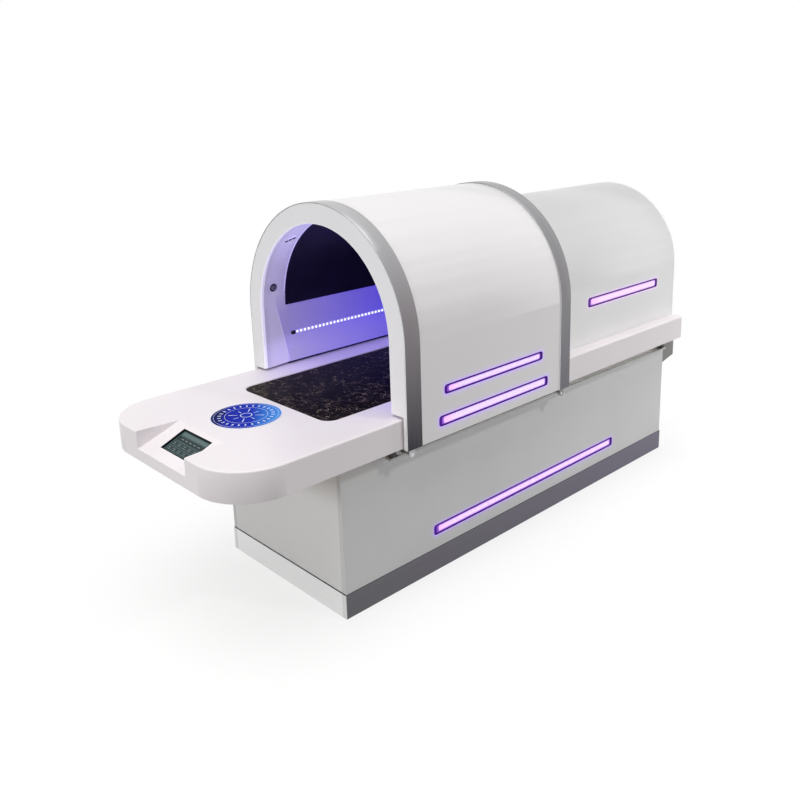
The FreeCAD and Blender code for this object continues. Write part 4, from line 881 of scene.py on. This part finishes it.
# Camera
CAMERA_AT = Vector((-2.094331, -2.035435, 1.477832))
YAW = math.radians(47.752)
PITCH = math.radians(14.051)
ROLL = math.radians(-1.936)
ahead = Vector((math.cos(YAW) * math.cos(PITCH), math.sin(YAW) * math.cos(PITCH), -math.sin(PITCH)))
level_right = Vector((math.sin(YAW), -math.cos(YAW), 0.0))
level_up = level_right.cross(ahead)
camera_x = math.cos(ROLL) * level_right + math.sin(ROLL) * level_up
camera_y = math.cos(ROLL) * level_up - math.sin(ROLL) * level_right
lens = bpy.data.cameras.new("camera")
lens.sensor_width = 36.0
lens.lens = 37.432
lens.shift_x = 0.01238
lens.shift_y = -0.10385
camera = bpy.data.objects.new("camera", lens)
turned = Matrix((camera_x, camera_y, -ahead)).transposed().to_4x4()
camera.matrix_world = Matrix.Translation(CAMERA_AT) @ turned
bpy.context.scene.collection.objects.link(camera)
bpy.context.scene.camera = camera
bpy.context.scene.view_settings.view_transform = "Standard"


# Surroundings and floor, white where they are seen and dimmer in the light that they throw
def seen_directly(tree):
    """One for rays from the camera, off gloss or through glass, nought for the light on the object."""
    path = tree.nodes.new("ShaderNodeLightPath")
    total = path.outputs["Is Camera Ray"]
    for name in ("Is Glossy Ray", "Is Transmission Ray"):
        either = tree.nodes.new("ShaderNodeMath")
        either.operation = "MAXIMUM"
        tree.links.new(total, either.inputs[0])
        tree.links.new(path.outputs[name], either.inputs[1])
        total = either.outputs[0]
    return total


world = bpy.data.worlds.new("studio")
bpy.context.scene.world = world
world.use_nodes = True
sky = world.node_tree
ambient = sky.nodes["Background"]
ambient.inputs["Color"].default_value = (1.0, 1.0, 1.0, 1.0)
ambient.inputs["Strength"].default_value = 0.34
white = sky.nodes.new("ShaderNodeBackground")
white.inputs["Color"].default_value = (1.0, 1.0, 1.0, 1.0)
white.inputs["Strength"].default_value = 1.0
either = sky.nodes.new("ShaderNodeMixShader")
sky.links.new(seen_directly(sky), either.inputs[0])
sky.links.new(ambient.outputs[0], either.inputs[1])
sky.links.new(white.outputs[0], either.inputs[2])
sky.links.new(either.outputs[0], sky.nodes["World Output"].inputs["Surface"])

floor_mesh = bpy.data.meshes.new("floor")
work = bmesh.new()
bmesh.ops.create_grid(work, x_segments=8, y_segments=8, size=40.0)
work.to_mesh(floor_mesh)
work.free()
floor = bpy.data.objects.new("floor", floor_mesh)
bpy.context.scene.collection.objects.link(floor)
floor_paint = bpy.data.materials.new("floor")
floor_paint.use_nodes = True
tree = floor_paint.node_tree
matt = tree.nodes["Principled BSDF"]
matt.inputs["Roughness"].default_value = 0.9
matt.inputs["Specular IOR Level"].default_value = 0.0
direct = seen_directly(tree)
tone = tree.nodes.new("ShaderNodeMix")
tone.data_type = "RGBA"
tone.inputs[6].default_value = (0.32, 0.32, 0.32, 1.0)
tone.inputs[7].default_value = (0.98, 0.98, 0.98, 1.0)
tree.links.new(direct, tone.inputs["Factor"])
tree.links.new(tone.outputs[2], matt.inputs["Base Color"])
shine = tree.nodes.new("ShaderNodeEmission")
shine.inputs["Color"].default_value = (1.0, 1.0, 1.0, 1.0)
shine.inputs["Strength"].default_value = 1.0
place = tree.nodes.new("ShaderNodeTexCoord")
reach = tree.nodes.new("ShaderNodeVectorMath")
reach.operation = "LENGTH"
tree.links.new(place.outputs["Object"], reach.inputs[0])
fade = tree.nodes.new("ShaderNodeMapRange")
fade.inputs["From Min"].default_value = 1.2
fade.inputs["From Max"].default_value = 3.5
fade.inputs["To Min"].default_value = 0.72
fade.inputs["To Max"].default_value = 1.0
tree.links.new(reach.outputs["Value"], fade.inputs["Value"])
share = tree.nodes.new("ShaderNodeMath")
share.operation = "MULTIPLY"
tree.links.new(direct, share.inputs[0])
tree.links.new(fade.outputs["Result"], share.inputs[1])
blend = tree.nodes.new("ShaderNodeMixShader")
tree.links.new(share.outputs[0], blend.inputs[0])
tree.links.new(matt.outputs[0], blend.inputs[1])
tree.links.new(shine.outputs[0], blend.inputs[2])
tree.links.new(blend.outputs[0], tree.nodes["Material Output"].inputs["Surface"])
floor_mesh.materials.append(floor_paint)

# Lamps
sun = bpy.data.lights.new("key", "SUN")
sun.energy = 1.74
sun.angle = math.radians(50)
key = bpy.data.objects.new("key", sun)
key.rotation_euler = Vector((-0.16, -0.05, 0.98)).to_track_quat("Z", "Y").to_euler()
bpy.context.scene.collection.objects.link(key)


def soft_lamp(name, power, wide, tall, spot, aim):
    """A soft rectangular lamp that is not seen itself."""
    light = bpy.data.lights.new(name, "AREA")
    light.shape = "RECTANGLE"
    light.energy = power
    light.size = wide
    light.size_y = tall
    lamp = bpy.data.objects.new(name, light)
    lamp.location = spot
    lamp.rotation_euler = (Vector(spot) - Vector(aim)).to_track_quat("Z", "Y").to_euler()
    lamp.visible_camera = False
    lamp.visible_glossy = False
    bpy.context.scene.collection.objects.link(lamp)
    return lamp


soft_lamp("side", 21.0, 1.0, 1.0, (3.0, -1.6, 0.7), (0.6, -0.3, 0.6))
soft_lamp("high", 18.0, 0.25, 0.25, (0.5, -2.6, 2.73), (0.2, -0.3, 0.5))
soft_lamp("left", 26.0, 1.2, 0.8, (0.6, 4.0, 0.9), (0.2, 0.3, 0.6))
soft_lamp("head", 46.0, 1.6, 0.8, (-4.8, -0.2, 1.6), (-0.7, 0.0, 0.4))

# Violet glow of the strips, which moves with the hood
STRIP_REACH = 0.12
STRIP_GLOW_Y = 0.25
for side, sign in (("left", 1), ("right", -1)):
    spot = ((strip_low.x + strip_high.x - STRIP_REACH) / 2, sign * STRIP_GLOW_Y, strip_z)
    glow = soft_lamp("strip_glow_" + side, 0.28, strip_high.x - strip_low.x + STRIP_REACH, 0.03, spot,
                     (spot[0], spot[1], spot[2] - 0.2))
    glow.data.color = (0.46, 0.38, 1.0)
    glow.parent = nodes["led_strips"]
